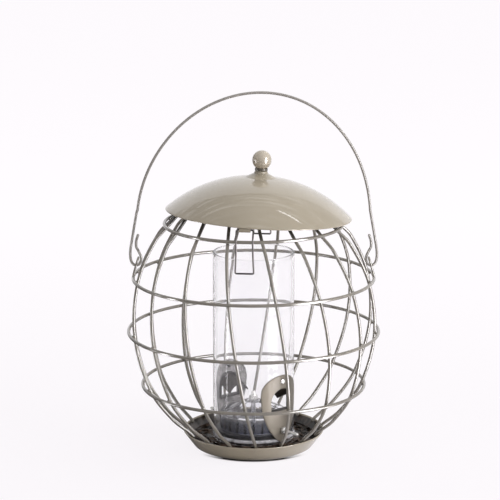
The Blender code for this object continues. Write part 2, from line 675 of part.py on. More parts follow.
def build_finial(frame, bore):
    seat = LID_SPHERE + GAP
    foot = arc(seat, math.asin(bore / seat), math.asin(COLLAR_RADIUS / seat), COLLAR_STEPS)
    edge = foot[-1][1] + COLLAR_EDGE
    top = LID_SPHERE + COLLAR_HEIGHT
    sweep = COLLAR_RADIUS - COLLAR_TOP_RADIUS
    flare = []
    for step in range(COLLAR_STEPS + 1):
        t = step / COLLAR_STEPS
        flare.append((COLLAR_RADIUS - sweep * t, edge + (top - edge) * t**COLLAR_CURVE))
    profile = foot + flare + [(bore, top)]
    place("finial_collar", turned_mesh("finial_collar", profile, FINIAL_SEGMENTS), "enamel", parent=frame)

    neck_foot = top + GAP
    neck_top = neck_foot + BALL_NECK_HEIGHT
    center = neck_top + math.sqrt(BALL_RADIUS**2 - BALL_NECK_RADIUS**2)
    screw_top = neck_foot + FINIAL_SCREW_GRIP
    waist = math.asin(BALL_NECK_RADIUS / BALL_RADIUS)
    ball = arc(BALL_RADIUS, math.pi - waist, 0, BALL_STEPS, (0, center))[:-1]
    profile = [(0, screw_top + GAP), (bore, screw_top + GAP), (bore, neck_foot),
               (BALL_NECK_RADIUS, neck_foot)] + ball + [(0, center + BALL_RADIUS)]
    place("finial_ball", turned_mesh("finial_ball", profile, FINIAL_SEGMENTS), "enamel", parent=frame)

    head = math.sqrt(LID_INNER**2 - FINIAL_SCREW_HEAD_RADIUS**2) - GAP
    low = head - FINIAL_SCREW_HEAD_HEIGHT
    profile = [(0, low), (FINIAL_SCREW_HEAD_RADIUS / 2, low),
               (FINIAL_SCREW_HEAD_RADIUS, low + FINIAL_SCREW_HEAD_HEIGHT / 2),
               (FINIAL_SCREW_HEAD_RADIUS, head), (FINIAL_SCREW_RADIUS, head),
               (FINIAL_SCREW_RADIUS, screw_top), (0, screw_top)]
    mesh = turned_mesh("finial_screw", profile, SMALL_SEGMENTS)
    place("finial_screw", mesh, "bright_metal", parent=frame)


def build_latch(name, angle, frame):
    """A spring wire on a barrel under the dome; its legs catch below the first hoop."""
    spot = around(LATCH_RADIUS, angle, 0)
    height = LID_CENTER + math.sqrt(BRACKET_SEAT**2 - (spot - LID_PLACE).xy.length**2)
    pivot = Matrix.Translation((spot.x, spot.y, height)) @ turned_about(angle)
    bore = LATCH_WIRE / 2 + GAP
    half = BRACKET_LENGTH / 2
    profile = [(bore, -half), (BRACKET_RADIUS, -half), (BRACKET_RADIUS, half), (bore, half)]
    node = f"latch_bracket_{name}"
    along = Matrix.Rotation(math.pi / 2, 4, "Y")
    barrel = place(node, turned_mesh(node, profile, SMALL_SEGMENTS), "enamel")
    barrel.parent = frame
    barrel.matrix_local = lid_matrix().inverted() @ pivot @ along

    outside = LATCH_INSET + HOOP_WIRE / 2 + GAP + LATCH_WIRE / 2
    above = HOOP_1_HEIGHT + HOOP_WIRE - height
    below = HOOP_1_HEIGHT - HOOP_WIRE / 2 - LATCH_WIRE / 2 - height
    foot = HOOP_1_HEIGHT - LATCH_DROP - height
    top, low = LATCH_TOP_WIDTH / 2, LATCH_FOOT_WIDTH / 2
    leg = [Vector((-LATCH_END_GAP / 2, 0, 0)), Vector((-top, 0, 0)), Vector((-top, -outside, above)),
           Vector((-top, -outside, below)), Vector((-top, LATCH_CATCH - outside, below - LATCH_RAMP)),
           Vector((-low, LATCH_CATCH - outside, foot))]
    other = [Vector((-point.x, point.y, point.z)) for point in reversed(leg)]
    wire(f"latch_{name}", rounded_path(leg + other, LATCH_BEND, steps=1), LATCH_WIRE,
         "latch_metal", matrix=pivot)


# Hook shape: shares of its width towards the cage and of its height above the lowest point
HOOK_SHARES = ((-0.35, 0.84), (-0.50, 0.50), (-0.50, 0.25), (-0.34, 0.07), (0.00, 0.00),
               (0.34, 0.05), (0.50, 0.24), (0.25, 0.48), (0.06, 0.60), (0.05, 0.80), (0.22, 1.00))


def build_bail():
    """One wire: a hook, an oval arch and the mirrored hook, about the axis through the hooks."""
    rise = BAIL_ARCH_BASE - HOOK_HEIGHT
    hook = [Vector((HOOK_SPREAD - across * HOOK_WIDTH, 0, up * HOOK_TIP)) for across, up in HOOK_SHARES]
    arch = []
    for step in range(BAIL_ARCH_STEPS + 1):
        a = BAIL_ARCH_START + (math.pi - 2 * BAIL_ARCH_START) * step / BAIL_ARCH_STEPS
        lift = math.sin(a)
        across = BAIL_HALF_WIDTH * math.cos(a) + BAIL_SKEW * lift**BAIL_SKEW_CURVE
        arch.append(Vector((across, 0, rise + BAIL_RISE * lift)))
    right = smooth_path([arch[0]] + hook, HOOK_STEPS)[1:]
    left = [Vector((-point.x, 0, point.z)) for point in right]
    wire("bail", list(reversed(right)) + arch + left, BAIL_WIRE, "enamel",
         matrix=Matrix.Translation((0, 0, HOOK_HEIGHT)))


def build():
    clear_scene()
    build_cage_wires()
    build_eyelets()
    build_tray()
    build_drain_plate()
    build_tube()
    build_plug()
    build_deflector()
    build_stud()
    build_ports()
    build_lid()
    build_bail()


build()
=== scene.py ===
"""The looks of a squirrel proof bird feeder: a wire globe on a dish, a clear seed tube, a domed lid.

Metres, +Z up. The front faces -Y, and angles round the cage start at the front and grow towards +X.
"""

import bmesh
import bpy
import numpy as np
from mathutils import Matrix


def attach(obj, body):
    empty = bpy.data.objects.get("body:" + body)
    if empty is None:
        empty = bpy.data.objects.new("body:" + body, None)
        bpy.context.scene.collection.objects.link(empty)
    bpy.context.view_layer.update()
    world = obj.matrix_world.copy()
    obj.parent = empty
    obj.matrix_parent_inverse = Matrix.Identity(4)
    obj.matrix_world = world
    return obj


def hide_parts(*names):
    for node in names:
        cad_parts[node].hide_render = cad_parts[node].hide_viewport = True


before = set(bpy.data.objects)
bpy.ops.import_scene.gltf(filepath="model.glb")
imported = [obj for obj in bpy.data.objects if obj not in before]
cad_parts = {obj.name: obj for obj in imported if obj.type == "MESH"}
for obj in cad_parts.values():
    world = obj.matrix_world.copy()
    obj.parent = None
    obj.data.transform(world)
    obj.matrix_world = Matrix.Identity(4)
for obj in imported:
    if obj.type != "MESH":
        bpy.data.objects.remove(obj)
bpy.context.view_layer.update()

# The dish: pressed sheet steel with a flat foot, a flared wall and a smooth rim, stove enamelled
# in warm taupe and dark brown in blotches inside. It carries everything else.
SHEET = 0.0012
FOOT_RADIUS = 0.0550
RIM_RADIUS = 0.0653
DISH_HEIGHT = 0.0146
DISH_FILLET = 0.0030
DARK_INSIDE_TOP = (DISH_HEIGHT - 0.0014, DISH_HEIGHT - 0.0008)
FINE = 160
TAUPE = (0.357, 0.311, 0.238)
TAUPE_SHADE = (0.318, 0.276, 0.210)


def arc(radius, start, end, steps, center=(0, 0)):
    """Points of an arc in a section, as (radius, height), with angles in degrees from straight up."""
    a = np.radians(np.linspace(start, end, steps + 1))
    return np.stack([center[0] + radius * np.sin(a), center[1] + radius * np.cos(a)], -1)


def held(section, near=0.0004):
    """A section with an extra point just inside both ends of every long stretch, which keeps flats flat."""
    section = np.asarray(section, float)
    gap = np.diff(section, axis=0)
    length = np.linalg.norm(gap, axis=1, keepdims=True)
    step = gap * near / np.maximum(length, near)
    rows = np.stack([section[:-1], section[:-1] + step, section[1:] - step], 1)
    long = length[:, 0] > 4 * near
    return np.concatenate([rows[np.stack([np.ones_like(long), long, long], 1)], section[-1:]])


def turned(section, count=FINE):
    """A section of (radius, height) swung round the upright axis: x = r sin a, y = -r cos a."""
    a = np.linspace(0, 2 * np.pi, count + 1)
    r, z = np.asarray(section, float).T
    return np.stack([np.outer(r, np.sin(a)), np.outer(r, -np.cos(a)), np.outer(z, np.ones_like(a))], -1)


def surface(name, grids, finish, sharp=40):
    """One piece from grids of points: every four neighbours make a face, and edges that meet are merged."""
    points, faces, base = [], [], 0
    for grid in grids:
        rows, columns = grid.shape[:2]
        number = np.arange(rows * columns).reshape(rows, columns) + base
        corners = (number[:-1, :-1], number[:-1, 1:], number[1:, 1:], number[1:, :-1])
        faces.append(np.stack(corners, -1).reshape(-1, 4))
        points.append(grid.reshape(-1, 3))
        base += rows * columns
    mesh = bpy.data.meshes.new(name)
    mesh.from_pydata(np.concatenate(points).tolist(), [], np.concatenate(faces).tolist())
    bm = bmesh.new()
    bm.from_mesh(mesh)
    bmesh.ops.remove_doubles(bm, verts=bm.verts, dist=2e-6)
    bmesh.ops.recalc_face_normals(bm, faces=bm.faces)
    bm.to_mesh(mesh)
    bm.free()
    mesh.shade_smooth()
    mesh.set_sharp_from_angle(angle=np.radians(sharp))
    mesh.materials.append(finish)
    item = bpy.data.objects.new(name, mesh)
    bpy.context.collection.objects.link(item)
    return item


def seat(item, body, slot, *nodes):
    """The piece moves with a body and stands for the solids it covers, which are hidden. The slot is not
    used.
    """
    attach(item, body)
    if nodes:
        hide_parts(*nodes)


def blank_finish(name):
    """A new material with its shader and its Object coordinates."""
    material = bpy.data.materials.new(name)
    material.use_nodes = True
    nodes = material.node_tree.nodes
    return material, nodes["Principled BSDF"], nodes.new("ShaderNodeTexCoord").outputs["Object"]


def feed(output, socket):
    """Joins an output to a socket of the same material."""
    output.id_data.links.new(output, socket)


def noise(where, scale, detail=3.0, rough=0.5):
    """Cloudy noise with so many patches to the metre, as a number from 0 to 1."""
    node = where.id_data.nodes.new("ShaderNodeTexNoise")
    node.inputs["Scale"].default_value = scale
    node.inputs["Detail"].default_value = detail
    node.inputs["Roughness"].default_value = rough
    feed(where, node.inputs["Vector"])
    return node.outputs["Fac"]


def spread(value, low, high, first=0, last=1):
    """A number between low and high, carried over to the span from first to last."""
    node = value.id_data.nodes.new("ShaderNodeMapRange")
    feed(value, node.inputs["Value"])
    for socket, end in zip(("From Min", "From Max", "To Min", "To Max"), (low, high, first, last)):
        node.inputs[socket].default_value = end
    return node.outputs["Result"]


def number(operation, first, *others):
    """A sum on plain numbers and other nodes' outputs, worked out from left to right."""
    for other in others or (0,):
        plain = isinstance(first, (int, float))
        node = (other if plain else first).id_data.nodes.new("ShaderNodeMath")
        node.operation = operation
        for socket, value in zip(node.inputs, (first, other)):
            if isinstance(value, (int, float)):
                socket.default_value = value
            else:
                feed(value, socket)
        first = node.outputs[0]
    return first


def times(*values):
    """The product of the values."""
    return number("MULTIPLY", *values)


def plus(*values):
    """The sum of the values."""
    return number("ADD", *values)


def axes(where):
    """The three parts of a vector."""
    node = where.id_data.nodes.new("ShaderNodeSeparateXYZ")
    feed(where, node.inputs[0])
    return tuple(node.outputs)


def from_axis(where):
    """Each point's distance from the upright axis."""
    x, y, _ = axes(where)
    return number("SQRT", plus(times(x, x), times(y, y)))


def blend_colors(share, first, last):
    """A colour that goes from first to last with share."""
    node = share.id_data.nodes.new("ShaderNodeMix")
    node.data_type = "RGBA"
    feed(share, node.inputs["Factor"])
    for socket, color in (("A", first), ("B", last)):
        target = next(s for s in node.inputs if s.name == socket and s.type == "RGBA")
        if isinstance(color, tuple):
            target.default_value = (*color, 1)
        else:
            feed(color, target)
    return next(s for s in node.outputs if s.type == "RGBA")


def relief(height, depth, target):
    """Raises the surface by up to depth where the height is 1, for a shader or coat normal."""
    node = height.id_data.nodes.new("ShaderNodeBump")
    node.inputs["Strength"].default_value = 1.0
    node.inputs["Distance"].default_value = depth
    feed(height, node.inputs["Height"])
    feed(node.outputs["Normal"], target)


def enamel(name, light=TAUPE, shade=TAUPE_SHADE, gloss=0.06, waves=0.00001, coat_index=1.5, coat=1.0):
    """Stove enamel: a flowed, glossy skin with slow waves and a slightly uneven tone."""
    material, shader, where = blank_finish(name)
    tone = spread(noise(where, 38, 4), 0.35, 0.65)
    feed(blend_colors(tone, light, shade), shader.inputs["Base Color"])
    feed(spread(noise(where, 420, 2), 0.3, 0.7, 0.30, 0.42), shader.inputs["Roughness"])
    shader.inputs["Specular IOR Level"].default_value = 0.25
    shader.inputs["Coat Weight"].default_value = coat
    shader.inputs["Coat Roughness"].default_value = gloss
    shader.inputs["Coat IOR"].default_value = coat_index
    relief(noise(where, 260, 2), waves, shader.inputs["Coat Normal"])
    relief(noise(where, 900, 2), waves, shader.inputs["Normal"])
    return material


def place(material):
    """A finished material's Object coordinates."""
    return material.node_tree.nodes["Texture Coordinate"].outputs["Object"]


def darken(material, share, color, coat=1.0):
    """Carries the paint over to a colour by a share, and takes the coat down with it."""
    shader = material.node_tree.nodes["Principled BSDF"]
    target = shader.inputs["Base Color"]
    feed(blend_colors(share, target.links[0].from_socket, color), target)
    if coat < 1:
        feed(spread(share, 0, 1, 1, coat), shader.inputs["Coat Weight"])


# The dish takes a paler copy of the taupe enamel than the lid: painted light.
enamel_dish = enamel("enamel_dish", (0.412, 0.360, 0.277), (0.368, 0.320, 0.245))
slope = (RIM_RADIUS - FOOT_RADIUS) / DISH_HEIGHT
lean = np.degrees(np.arctan(slope))
across = SHEET * np.hypot(1, slope)
# Inside, below the rim, the enamel is carried over to dark brown in blotches.
where = place(enamel_dish)
height = axes(where)[2]
line = number("SUBTRACT", from_axis(where), times(height, slope))
inside = spread(line, FOOT_RADIUS - 0.4 * across, FOOT_RADIUS - 0.2 * across, 1, 0)
below = spread(height, *DARK_INSIDE_TOP, 1, 0)
patches = spread(noise(where, 110, 4, 0.6), 0.42, 0.62)
dark_inside = blend_colors(patches, (0.010, 0.007, 0.005), (0.060, 0.042, 0.031))
darken(enamel_dish, times(inside, below), dark_inside)

turn_in = DISH_FILLET * np.tan(np.radians(90 - lean) / 2)
rim_center = (RIM_RADIUS - across / 2, DISH_HEIGHT - SHEET / 2)
dish_section = np.concatenate([
    [(0, 0)],
    arc(DISH_FILLET, 180, 90 + lean, 8, (FOOT_RADIUS - turn_in, DISH_FILLET)),
    arc(SHEET / 2, 90 + lean, lean - 90, 10, rim_center),
    arc(DISH_FILLET, 90 + lean, 180, 8, (FOOT_RADIUS - turn_in - SHEET / 2, DISH_FILLET + SHEET)),
    [(0, SHEET)],
])
seat(surface("dish", [turned(held(dish_section))], enamel_dish), "cage", "enamel", "tray")

# The drain plate: a dark moulded disc that lies in the dish and lets rain through sixteen round
# holes. Its skin is uneven and stained in blotches of brown.
PLATE_TOP = 0.0075
PLATE_WALL = 0.0010
PLATE_EDGE = 0.0575
PLATE_SKIRT = 0.0430
HOLE_RADIUS = 0.0032
HOLE_CIRCLE = 0.0475
HOLES = 16
BORE = 0.0023
INNER_RING = 0.0430
CLEARANCE = 0.0003
NEAR_BLACK = (0.010, 0.007, 0.005)
BROWN_BLACK = (0.105, 0.070, 0.050)


def around_hole(index, height, steps=24, rings=5):
    """A sector of the disc with a round hole: rays from the hole's edge run out to the sector's edge."""
    half = np.pi / HOLES
    middle = 2 * half * (index + 1 / 4)
    a = np.linspace(0, 2 * np.pi, steps + 1)
    edge = np.stack([HOLE_RADIUS * np.cos(a) / HOLE_CIRCLE, HOLE_RADIUS * np.sin(a)], -1)
    low, high = INNER_RING - HOLE_CIRCLE, PLATE_EDGE - HOLE_CIRCLE
    reach = np.stack([np.cos(a) / half, np.where(np.sin(a) > 0, np.sin(a) / high, np.sin(a) / low)], -1)
    frame_edge = np.stack([np.cos(a), np.sin(a)], -1) / np.abs(reach).max(-1)[:, None]
    t = np.linspace(0, 1, rings + 1)[:, None, None]
    spots = edge * (1 - t) + frame_edge * t
    angle, r = middle + spots[..., 0], HOLE_CIRCLE + spots[..., 1]
    return np.stack([r * np.sin(angle), -r * np.cos(angle), np.full_like(r, height)], -1)


dark_plate, shader, where = blank_finish("mottled_plate")
dust = spread(noise(where, 110, 5, 0.6), 0.42, 0.60)
feed(blend_colors(dust, NEAR_BLACK, BROWN_BLACK), shader.inputs["Base Color"])
feed(spread(dust, 0, 1, 0.15, 0.60), shader.inputs["Roughness"])
shader.inputs["IOR"].default_value = 1.13
relief(noise(where, 170, 3, 0.5), 0.0009, shader.inputs["Normal"])

plate_low = PLATE_TOP - PLATE_WALL
skirt_low, skirt_bore = SHEET + CLEARANCE, PLATE_SKIRT - PLATE_WALL
plate_grids = []
for index in range(HOLES):
    top, under = around_hole(index, PLATE_TOP), around_hole(index, plate_low)
    plate_grids += [top, under, np.stack([top[0], under[0]])]
plate_grids.append(turned([(PLATE_EDGE, plate_low), (PLATE_EDGE, PLATE_TOP)]))
plate_grids.append(turned([(INNER_RING, PLATE_TOP), (BORE, PLATE_TOP), (BORE, plate_low),
                           (skirt_bore, plate_low), (skirt_bore, skirt_low), (PLATE_SKIRT, skirt_low),
                           (PLATE_SKIRT, plate_low)]))
seat(surface("perforated_plate", plate_grids, dark_plate), "cage", "dark_plate", "drain_plate")

# The foot of the seed tube: a dark plug closes it, and a smoky moulded deflector with upright
# facets stands on the plug. A plated stud with a nut holds the stack down.
TUBE_FLOOR = PLATE_TOP + CLEARANCE
TUBE_RADIUS = 0.0374
TUBE_BORE = 0.0354
PLUG_RADIUS = TUBE_BORE - CLEARANCE
PLUG_TOP = TUBE_FLOOR + 0.0090
PLUG_FOOT = TUBE_FLOOR + 0.0046
PLUG_WALL = 0.0018
CONE_RADIUS = 0.0315
CONE_FOOT = PLUG_TOP + CLEARANCE
CONE_SHOULDER = 0.0320
CONE_TOP = 0.0420
CONE_HUB = 0.0070
CONE_WALL = 0.0015
CONE_SIDES = 12
BEAD_TOP = 0.0125
THIN_HAZE = (0.016, 0.045)
SMOKE_TOP = 0.029
STUD_RADIUS = 0.0020
STUD_TOP = 0.0500
NUT_RADIUS = 0.0042
NUT_HEIGHT = 0.0040


def rounded(corners, radius, steps=4):
    """A section's corners, rounded off by short curves; the two end points stay."""
    corners = np.asarray(corners, float)
    t = np.linspace(0, 1, steps + 1)[:, None]
    run = [corners[:1]]
    for before, corner, after in zip(corners, corners[1:], corners[2:]):
        back, ahead = before - corner, after - corner
        reach = min(radius, np.linalg.norm(back) / 2.01, np.linalg.norm(ahead) / 2.01)
        start = corner + back / np.linalg.norm(back) * reach
        end = corner + ahead / np.linalg.norm(ahead) * reach
        run.append(start * (1 - t)**2 + corner * (2 * t * (1 - t)) + end * t**2)
    run.append(corners[-1:])
    return np.concatenate(run)


def between(value, edges):
    """1 between the two middle edges and 0 outside the outer ones."""
    return times(spread(value, *edges[:2]), spread(value, *edges[2:], 1, 0))


def closed_ring(section, radius, steps=3):
    """A closed section with rounded corners, for a turned ring."""
    middle = (np.asarray(section[0]) + np.asarray(section[1])) / 2
    return rounded([middle, *section[1:], section[0], middle], radius, steps)


def faceted(section, sides):
    """A section carried round a polygon with blunted corners: r(a) = r cos(half) / cos(a to a side)."""
    half = np.pi / sides
    a = np.linspace(0, 2 * np.pi, sides * 12 + 1)
    off = (a + half) % (2 * half) - half
    swell = np.minimum(1 / np.cos(off), 0.992 / np.cos(half)) * np.cos(half)
    r, z = np.asarray(section, float).T
    return np.stack([np.outer(r, swell * np.sin(a)), np.outer(r, -swell * np.cos(a)),
                     np.outer(z, np.ones_like(a))], -1)


def moulded(name, color, roughness):
    """Plain moulded plastic with a faint spark-eroded skin."""
    material, shader, where = blank_finish(name)
    tone = noise(where, 70, 3)
    darker = tuple(0.7 * share for share in color)
    feed(blend_colors(tone, color, darker), shader.inputs["Base Color"])
    uneven = spread(noise(where, 600, 2), 0.3, 0.7, roughness - 0.05, roughness + 0.08)
    feed(uneven, shader.inputs["Roughness"])
    relief(noise(where, 1500, 2), 0.00002, shader.inputs["Normal"])
    return material


def blend_shaders(share, first, last):
    """A shader that goes from first to last with share."""
    mix = share.id_data.nodes.new("ShaderNodeMixShader")
    for output, socket in zip((share, first.outputs[0], last.outputs[0]), mix.inputs):
        feed(output, socket)
    return mix


def see_through(name, color, index, roughness, ripple, shadow, haze, bead_highlight):
    """Clear plastic: it bends light, ripples faintly with the moulding, and lets the lamps shine through.

    A pale haze veils what is behind it. Round the top of the foot bead a thicker haze in patches is a painted
    highlight."""
    material, shader, where = blank_finish(name)
    tone = spread(noise(where, 45, 3), 0.3, 0.7)
    paler = tuple(min(1.0, 1.03 * share) for share in color)
    feed(blend_colors(tone, color, paler), shader.inputs["Base Color"])
    shader.inputs["Roughness"].default_value = roughness
    shader.inputs["IOR"].default_value = index
    shader.inputs["Transmission Weight"].default_value = 1.0
    relief(noise(where, 90, 1), ripple, shader.inputs["Normal"])
    nodes = material.node_tree.nodes
    fog = nodes.new("ShaderNodeBsdfDiffuse")
    fog.inputs["Color"].default_value = (0.90, 0.89, 0.93, 1)
    height = axes(where)[2]
    # Painted highlight: a thicker haze in patches round the top of the foot bead.
    ring = between(height, (BEAD_TOP - 0.0026, BEAD_TOP - 0.0016, BEAD_TOP, BEAD_TOP + 0.0006))
    highlight_patches = spread(noise(where, 130, 2), 0.35, 0.55, 0.35, 1.0)
    thin = spread(height, *THIN_HAZE, 0.2 * haze, haze)
    veil = nodes.new("ShaderNodeBsdfTransparent")
    veil.inputs["Color"].default_value = (shadow, shadow, shadow, 1)
    rays = nodes.new("ShaderNodeLightPath")
    hazy = blend_shaders(plus(thin, times(ring, highlight_patches, bead_highlight)), nodes["Principled BSDF"], fog)
    lit = blend_shaders(rays.outputs["Is Shadow Ray"], hazy, veil)
    feed(lit.outputs[0], nodes["Material Output"].inputs["Surface"])
    return material


def plated(name, color=(0.88, 0.87, 0.85), roughness=0.20, metal=0.8):
    """Bright zinc plating with fine turning marks and a few dull patches."""
    material, shader, where = blank_finish(name)
    dull = spread(noise(where, 350, 3), 0.4, 0.7)
    feed(blend_colors(dull, color, tuple(0.72 * share for share in color)), shader.inputs["Base Color"])
    feed(spread(dull, 0, 1, roughness, roughness + 0.18), shader.inputs["Roughness"])
    shader.inputs["Metallic"].default_value = metal
    relief(noise(where, 2600, 2), 0.00001, shader.inputs["Normal"])
    return material


plug_plastic = moulded("plug_plastic", (0.012, 0.011, 0.013), 0.35)
smoky = see_through("smoky_moulding", (0.36, 0.38, 0.50), 1.20, 0.03, 0.0002, 0.8, 0.02, 0.02)
smoke = smoky.node_tree.nodes["Principled BSDF"].inputs["Base Color"]
x, y, z = axes(place(smoky))
# Thin dark upright lines, two to each facet, are painted round the deflector: painted shade standing in for
# the dark edges its facets show.
wave = number("COSINE", times(number("ARCTAN2", x, y), 2 * CONE_SIDES))
painted_facet_lines = blend_colors(spread(wave, 0.45, 0.95), smoke.links[0].from_socket, (0.03, 0.03, 0.05))
high = number("MAXIMUM", spread(z, SMOKE_TOP - 0.003, SMOKE_TOP + 0.001), spread(y, -0.004, 0.008))
feed(blend_colors(high, painted_facet_lines, (0.93, 0.93, 0.95)), smoke)
bright = plated("bright_plating")

plug_bore, plug_under = PLUG_RADIUS - PLUG_WALL, PLUG_TOP - PLUG_WALL
plug_section = closed_ring([(BORE, PLUG_TOP), (PLUG_RADIUS, PLUG_TOP), (PLUG_RADIUS, PLUG_FOOT),
                            (plug_bore, PLUG_FOOT), (plug_bore, plug_under), (BORE, plug_under)], 0.0006)
seat(surface("foot_plug", [turned(held(plug_section), 96)], plug_plastic),
     "cage", "dark_plastic", "tube_plug")

cone_inner = CONE_RADIUS - CONE_WALL
cone_section = closed_ring([(BORE, CONE_TOP), (CONE_HUB, CONE_TOP), (CONE_RADIUS, CONE_SHOULDER),
                            (CONE_RADIUS, CONE_FOOT), (cone_inner, CONE_FOOT),
                            (cone_inner, CONE_SHOULDER - CONE_WALL), (CONE_HUB, CONE_TOP - CONE_WALL),
                            (BORE, CONE_TOP - CONE_WALL)], 0.0008)
seat(surface("faceted_deflector", [faceted(held(cone_section), CONE_SIDES)], smoky, 25),
     "cage", "smoky_plastic", "seed_deflector")

stud_foot = SHEET + CLEARANCE
stud_section = rounded([(0, stud_foot), (STUD_RADIUS, stud_foot), (STUD_RADIUS, STUD_TOP),
                        (0, STUD_TOP)], 0.0005)
seat(surface("clamping_stud", [turned(stud_section, 32)], bright), "cage", "bright_metal", "tray_stud")


def hexagon_nut(bore, radius, foot, height):
    """A hexagon nut whose corners are chamfered where it meets the spanner's face."""
    chamfer = (radius - bore) / 4
    top = foot + height
    section = [(bore, foot), (radius - chamfer, foot), (radius, foot + chamfer), (radius, top - chamfer),
               (radius - chamfer, top), (bore, top), (bore, foot)]
    return faceted(section, 6)


clamp = hexagon_nut(STUD_RADIUS, NUT_RADIUS, CONE_TOP + CLEARANCE, NUT_HEIGHT)
seat(surface("clamping_nut", [clamp], bright, 25), "cage", "bright_metal", "stud_nut")

# The seed tube: clear extruded plastic, open at the top, with a thickened foot bead. Each port is
# an arched hole cut through its wall.
TUBE_TOP = 0.1830
FOOT_BEAD = 0.0006
PORT_ANGLES = (("front", np.radians(43.0)), ("rear", np.radians(223.0)))
OPENING_HALF = 0.0120
OPENING_SPRING = 0.0485
OPENING_SILL = 0.0395
SLEEVE_WALL = 0.0012


def opening_edge(grow, steps=40):
    """The arched opening as (across, height): half circle on top, straight sides and a flat sill."""
    half, sill = OPENING_HALF + grow, OPENING_SILL - grow
    crown = arc(half, 90, -90, steps, (0, OPENING_SPRING))
    left = np.stack([np.full(8, -half), np.linspace(OPENING_SPRING, sill, 9)[1:]], -1)
    bottom = np.stack([np.linspace(-half, half, 17)[1:], np.full(16, sill)], -1)
    right = np.stack([np.full(8, half), np.linspace(sill, OPENING_SPRING, 9)[1:]], -1)
    return np.concatenate([crown, left, bottom, right])


def turned_to(angle, grid):
    """A grid turned about the upright axis, from the front towards +X."""
    s, c = np.sin(angle), np.cos(angle)
    x, y, z = grid[..., 0], grid[..., 1], grid[..., 2]
    return np.stack([c * x - s * y, s * x + c * y, z], -1)


def outline_at(edge, depth):
    """An outline of (across, height) stood up at a depth in front of the axis."""
    return np.stack([edge[:, 0], np.full(len(edge), -depth), edge[:, 1]], -1)


clear = see_through("clear_tube", (0.985, 0.98, 0.99), 1.22, 0.0, 0.00006, 0.92, 0.055, 0.75)
tube_section = closed_ring([(TUBE_BORE, TUBE_FLOOR), (TUBE_RADIUS + FOOT_BEAD, TUBE_FLOOR),
                            (TUBE_RADIUS + FOOT_BEAD, BEAD_TOP), (TUBE_RADIUS, BEAD_TOP + FOOT_BEAD),
                            (TUBE_RADIUS, TUBE_TOP), (TUBE_BORE, TUBE_TOP)], 0.0008, 5)
tube = surface("clear_seed_tube", [turned(held(tube_section), 192)], clear)
for name, angle in PORT_ANGLES:
    edge = opening_edge(SLEEVE_WALL + CLEARANCE)
    near, far = outline_at(edge, TUBE_BORE / 2), outline_at(edge, TUBE_RADIUS * 1.2)
    ends = [np.broadcast_to(ring.mean(0), ring.shape) for ring in (near, far)]
    punch_grid = np.stack([ends[0], near, far, ends[1]])
    punch = surface(f"punch_{name}", [turned_to(angle, punch_grid)], clear)
    cut = tube.modifiers.new(f"port_{name}", "BOOLEAN")
    cut.operation = "DIFFERENCE"
    cut.solver = "EXACT"
    cut.object = punch
cut_mesh = bpy.data.meshes.new_from_object(tube.evaluated_get(bpy.context.evaluated_depsgraph_get()))
tube.modifiers.clear()
tube.data = cut_mesh
cut_mesh.set_sharp_from_angle(angle=np.radians(40))
for name, _ in PORT_ANGLES:
    bpy.data.objects.remove(bpy.data.objects[f"punch_{name}"])
seat(tube, "cage", "clear_plastic", "seed_tube")

# The feeding ports: a curved shield of sheet is wrapped on the tube, enamelled outside and bare
# on the tube side, held by a screw at its top and by the perch's nut below. A dark sleeve with
# an awning lines each opening.
SHIELD_HALF = 0.0203
SHIELD_TOP = 0.0732
SHIELD_SHOULDER = 0.0580
SHIELD_WAIST = 0.0500
SHIELD_TIP = 0.0092
SHIELD_WALL = 0.0012
SLEEVE_DEPTH = 0.0062
AWNING_START = 0.0012
AWNING_REACH = 0.0110
AWNING_DROP = 0.0085
AWNING_SPRING = 65
SCREW_HEIGHT = 0.0675
SCREW_SHANK = 0.0012
SCREW_HEAD = 0.0025
SCREW_CROWN = 0.0016
PERCH_HEIGHT = 0.0209
PERCH_RADIUS = 0.0015
PERCH_LENGTH = 0.0205
PERCH_HEAD = 0.0030
PERCH_HEAD_WALL = 0.0016
PERCH_NUT_RADIUS = 0.0035
PERCH_NUT_HEIGHT = 0.0026


def shield_edge(steps=36):
    """The shield's outline as (across, height): an oval top whose sides draw in to a blunt tip."""
    a = np.linspace(np.pi / 2, -np.pi / 2, 2 * steps + 1)
    rise = SHIELD_TOP - SHIELD_SHOULDER
    top = np.stack([SHIELD_HALF * np.sin(a), SHIELD_SHOULDER + rise * np.cos(a)], -1)
    fall = np.sin(np.pi / 2 * np.linspace(0, 1, steps + 1))
    width = SHIELD_HALF * (1 - fall**2)**(2 / 3)
    height = SHIELD_WAIST - (SHIELD_WAIST - SHIELD_TIP) * fall
    left = np.stack([-width, height], -1)
    right = np.stack([width[::-1], height[::-1]], -1)
    return np.concatenate([top, left, right[1:], top[:1]])


def by_angle(outline, center, count):
    """The points of an outline that a centre sees at even angles, starting at the right."""
    off = outline - center
    angle = np.unwrap(np.arctan2(off[:, 1], off[:, 0]))
    reach = np.hypot(off[:, 0], off[:, 1])
    order = np.argsort(angle)
    wanted = np.linspace(0, 2 * np.pi, count + 1)
    r = np.interp(wanted, angle[order], reach[order], period=2 * np.pi)
    return center + np.stack([r * np.cos(wanted), r * np.sin(wanted)], -1)


def wrapped(flat, radius):
    """Points of (across, height) pressed straight onto a cylinder of that radius."""
    return np.stack([flat[..., 0], -np.sqrt(radius**2 - flat[..., 0]**2), flat[..., 1]], -1)


def unit(vectors):
    """Each vector divided by its own length."""
    return vectors / np.linalg.norm(vectors, axis=-1, keepdims=True)


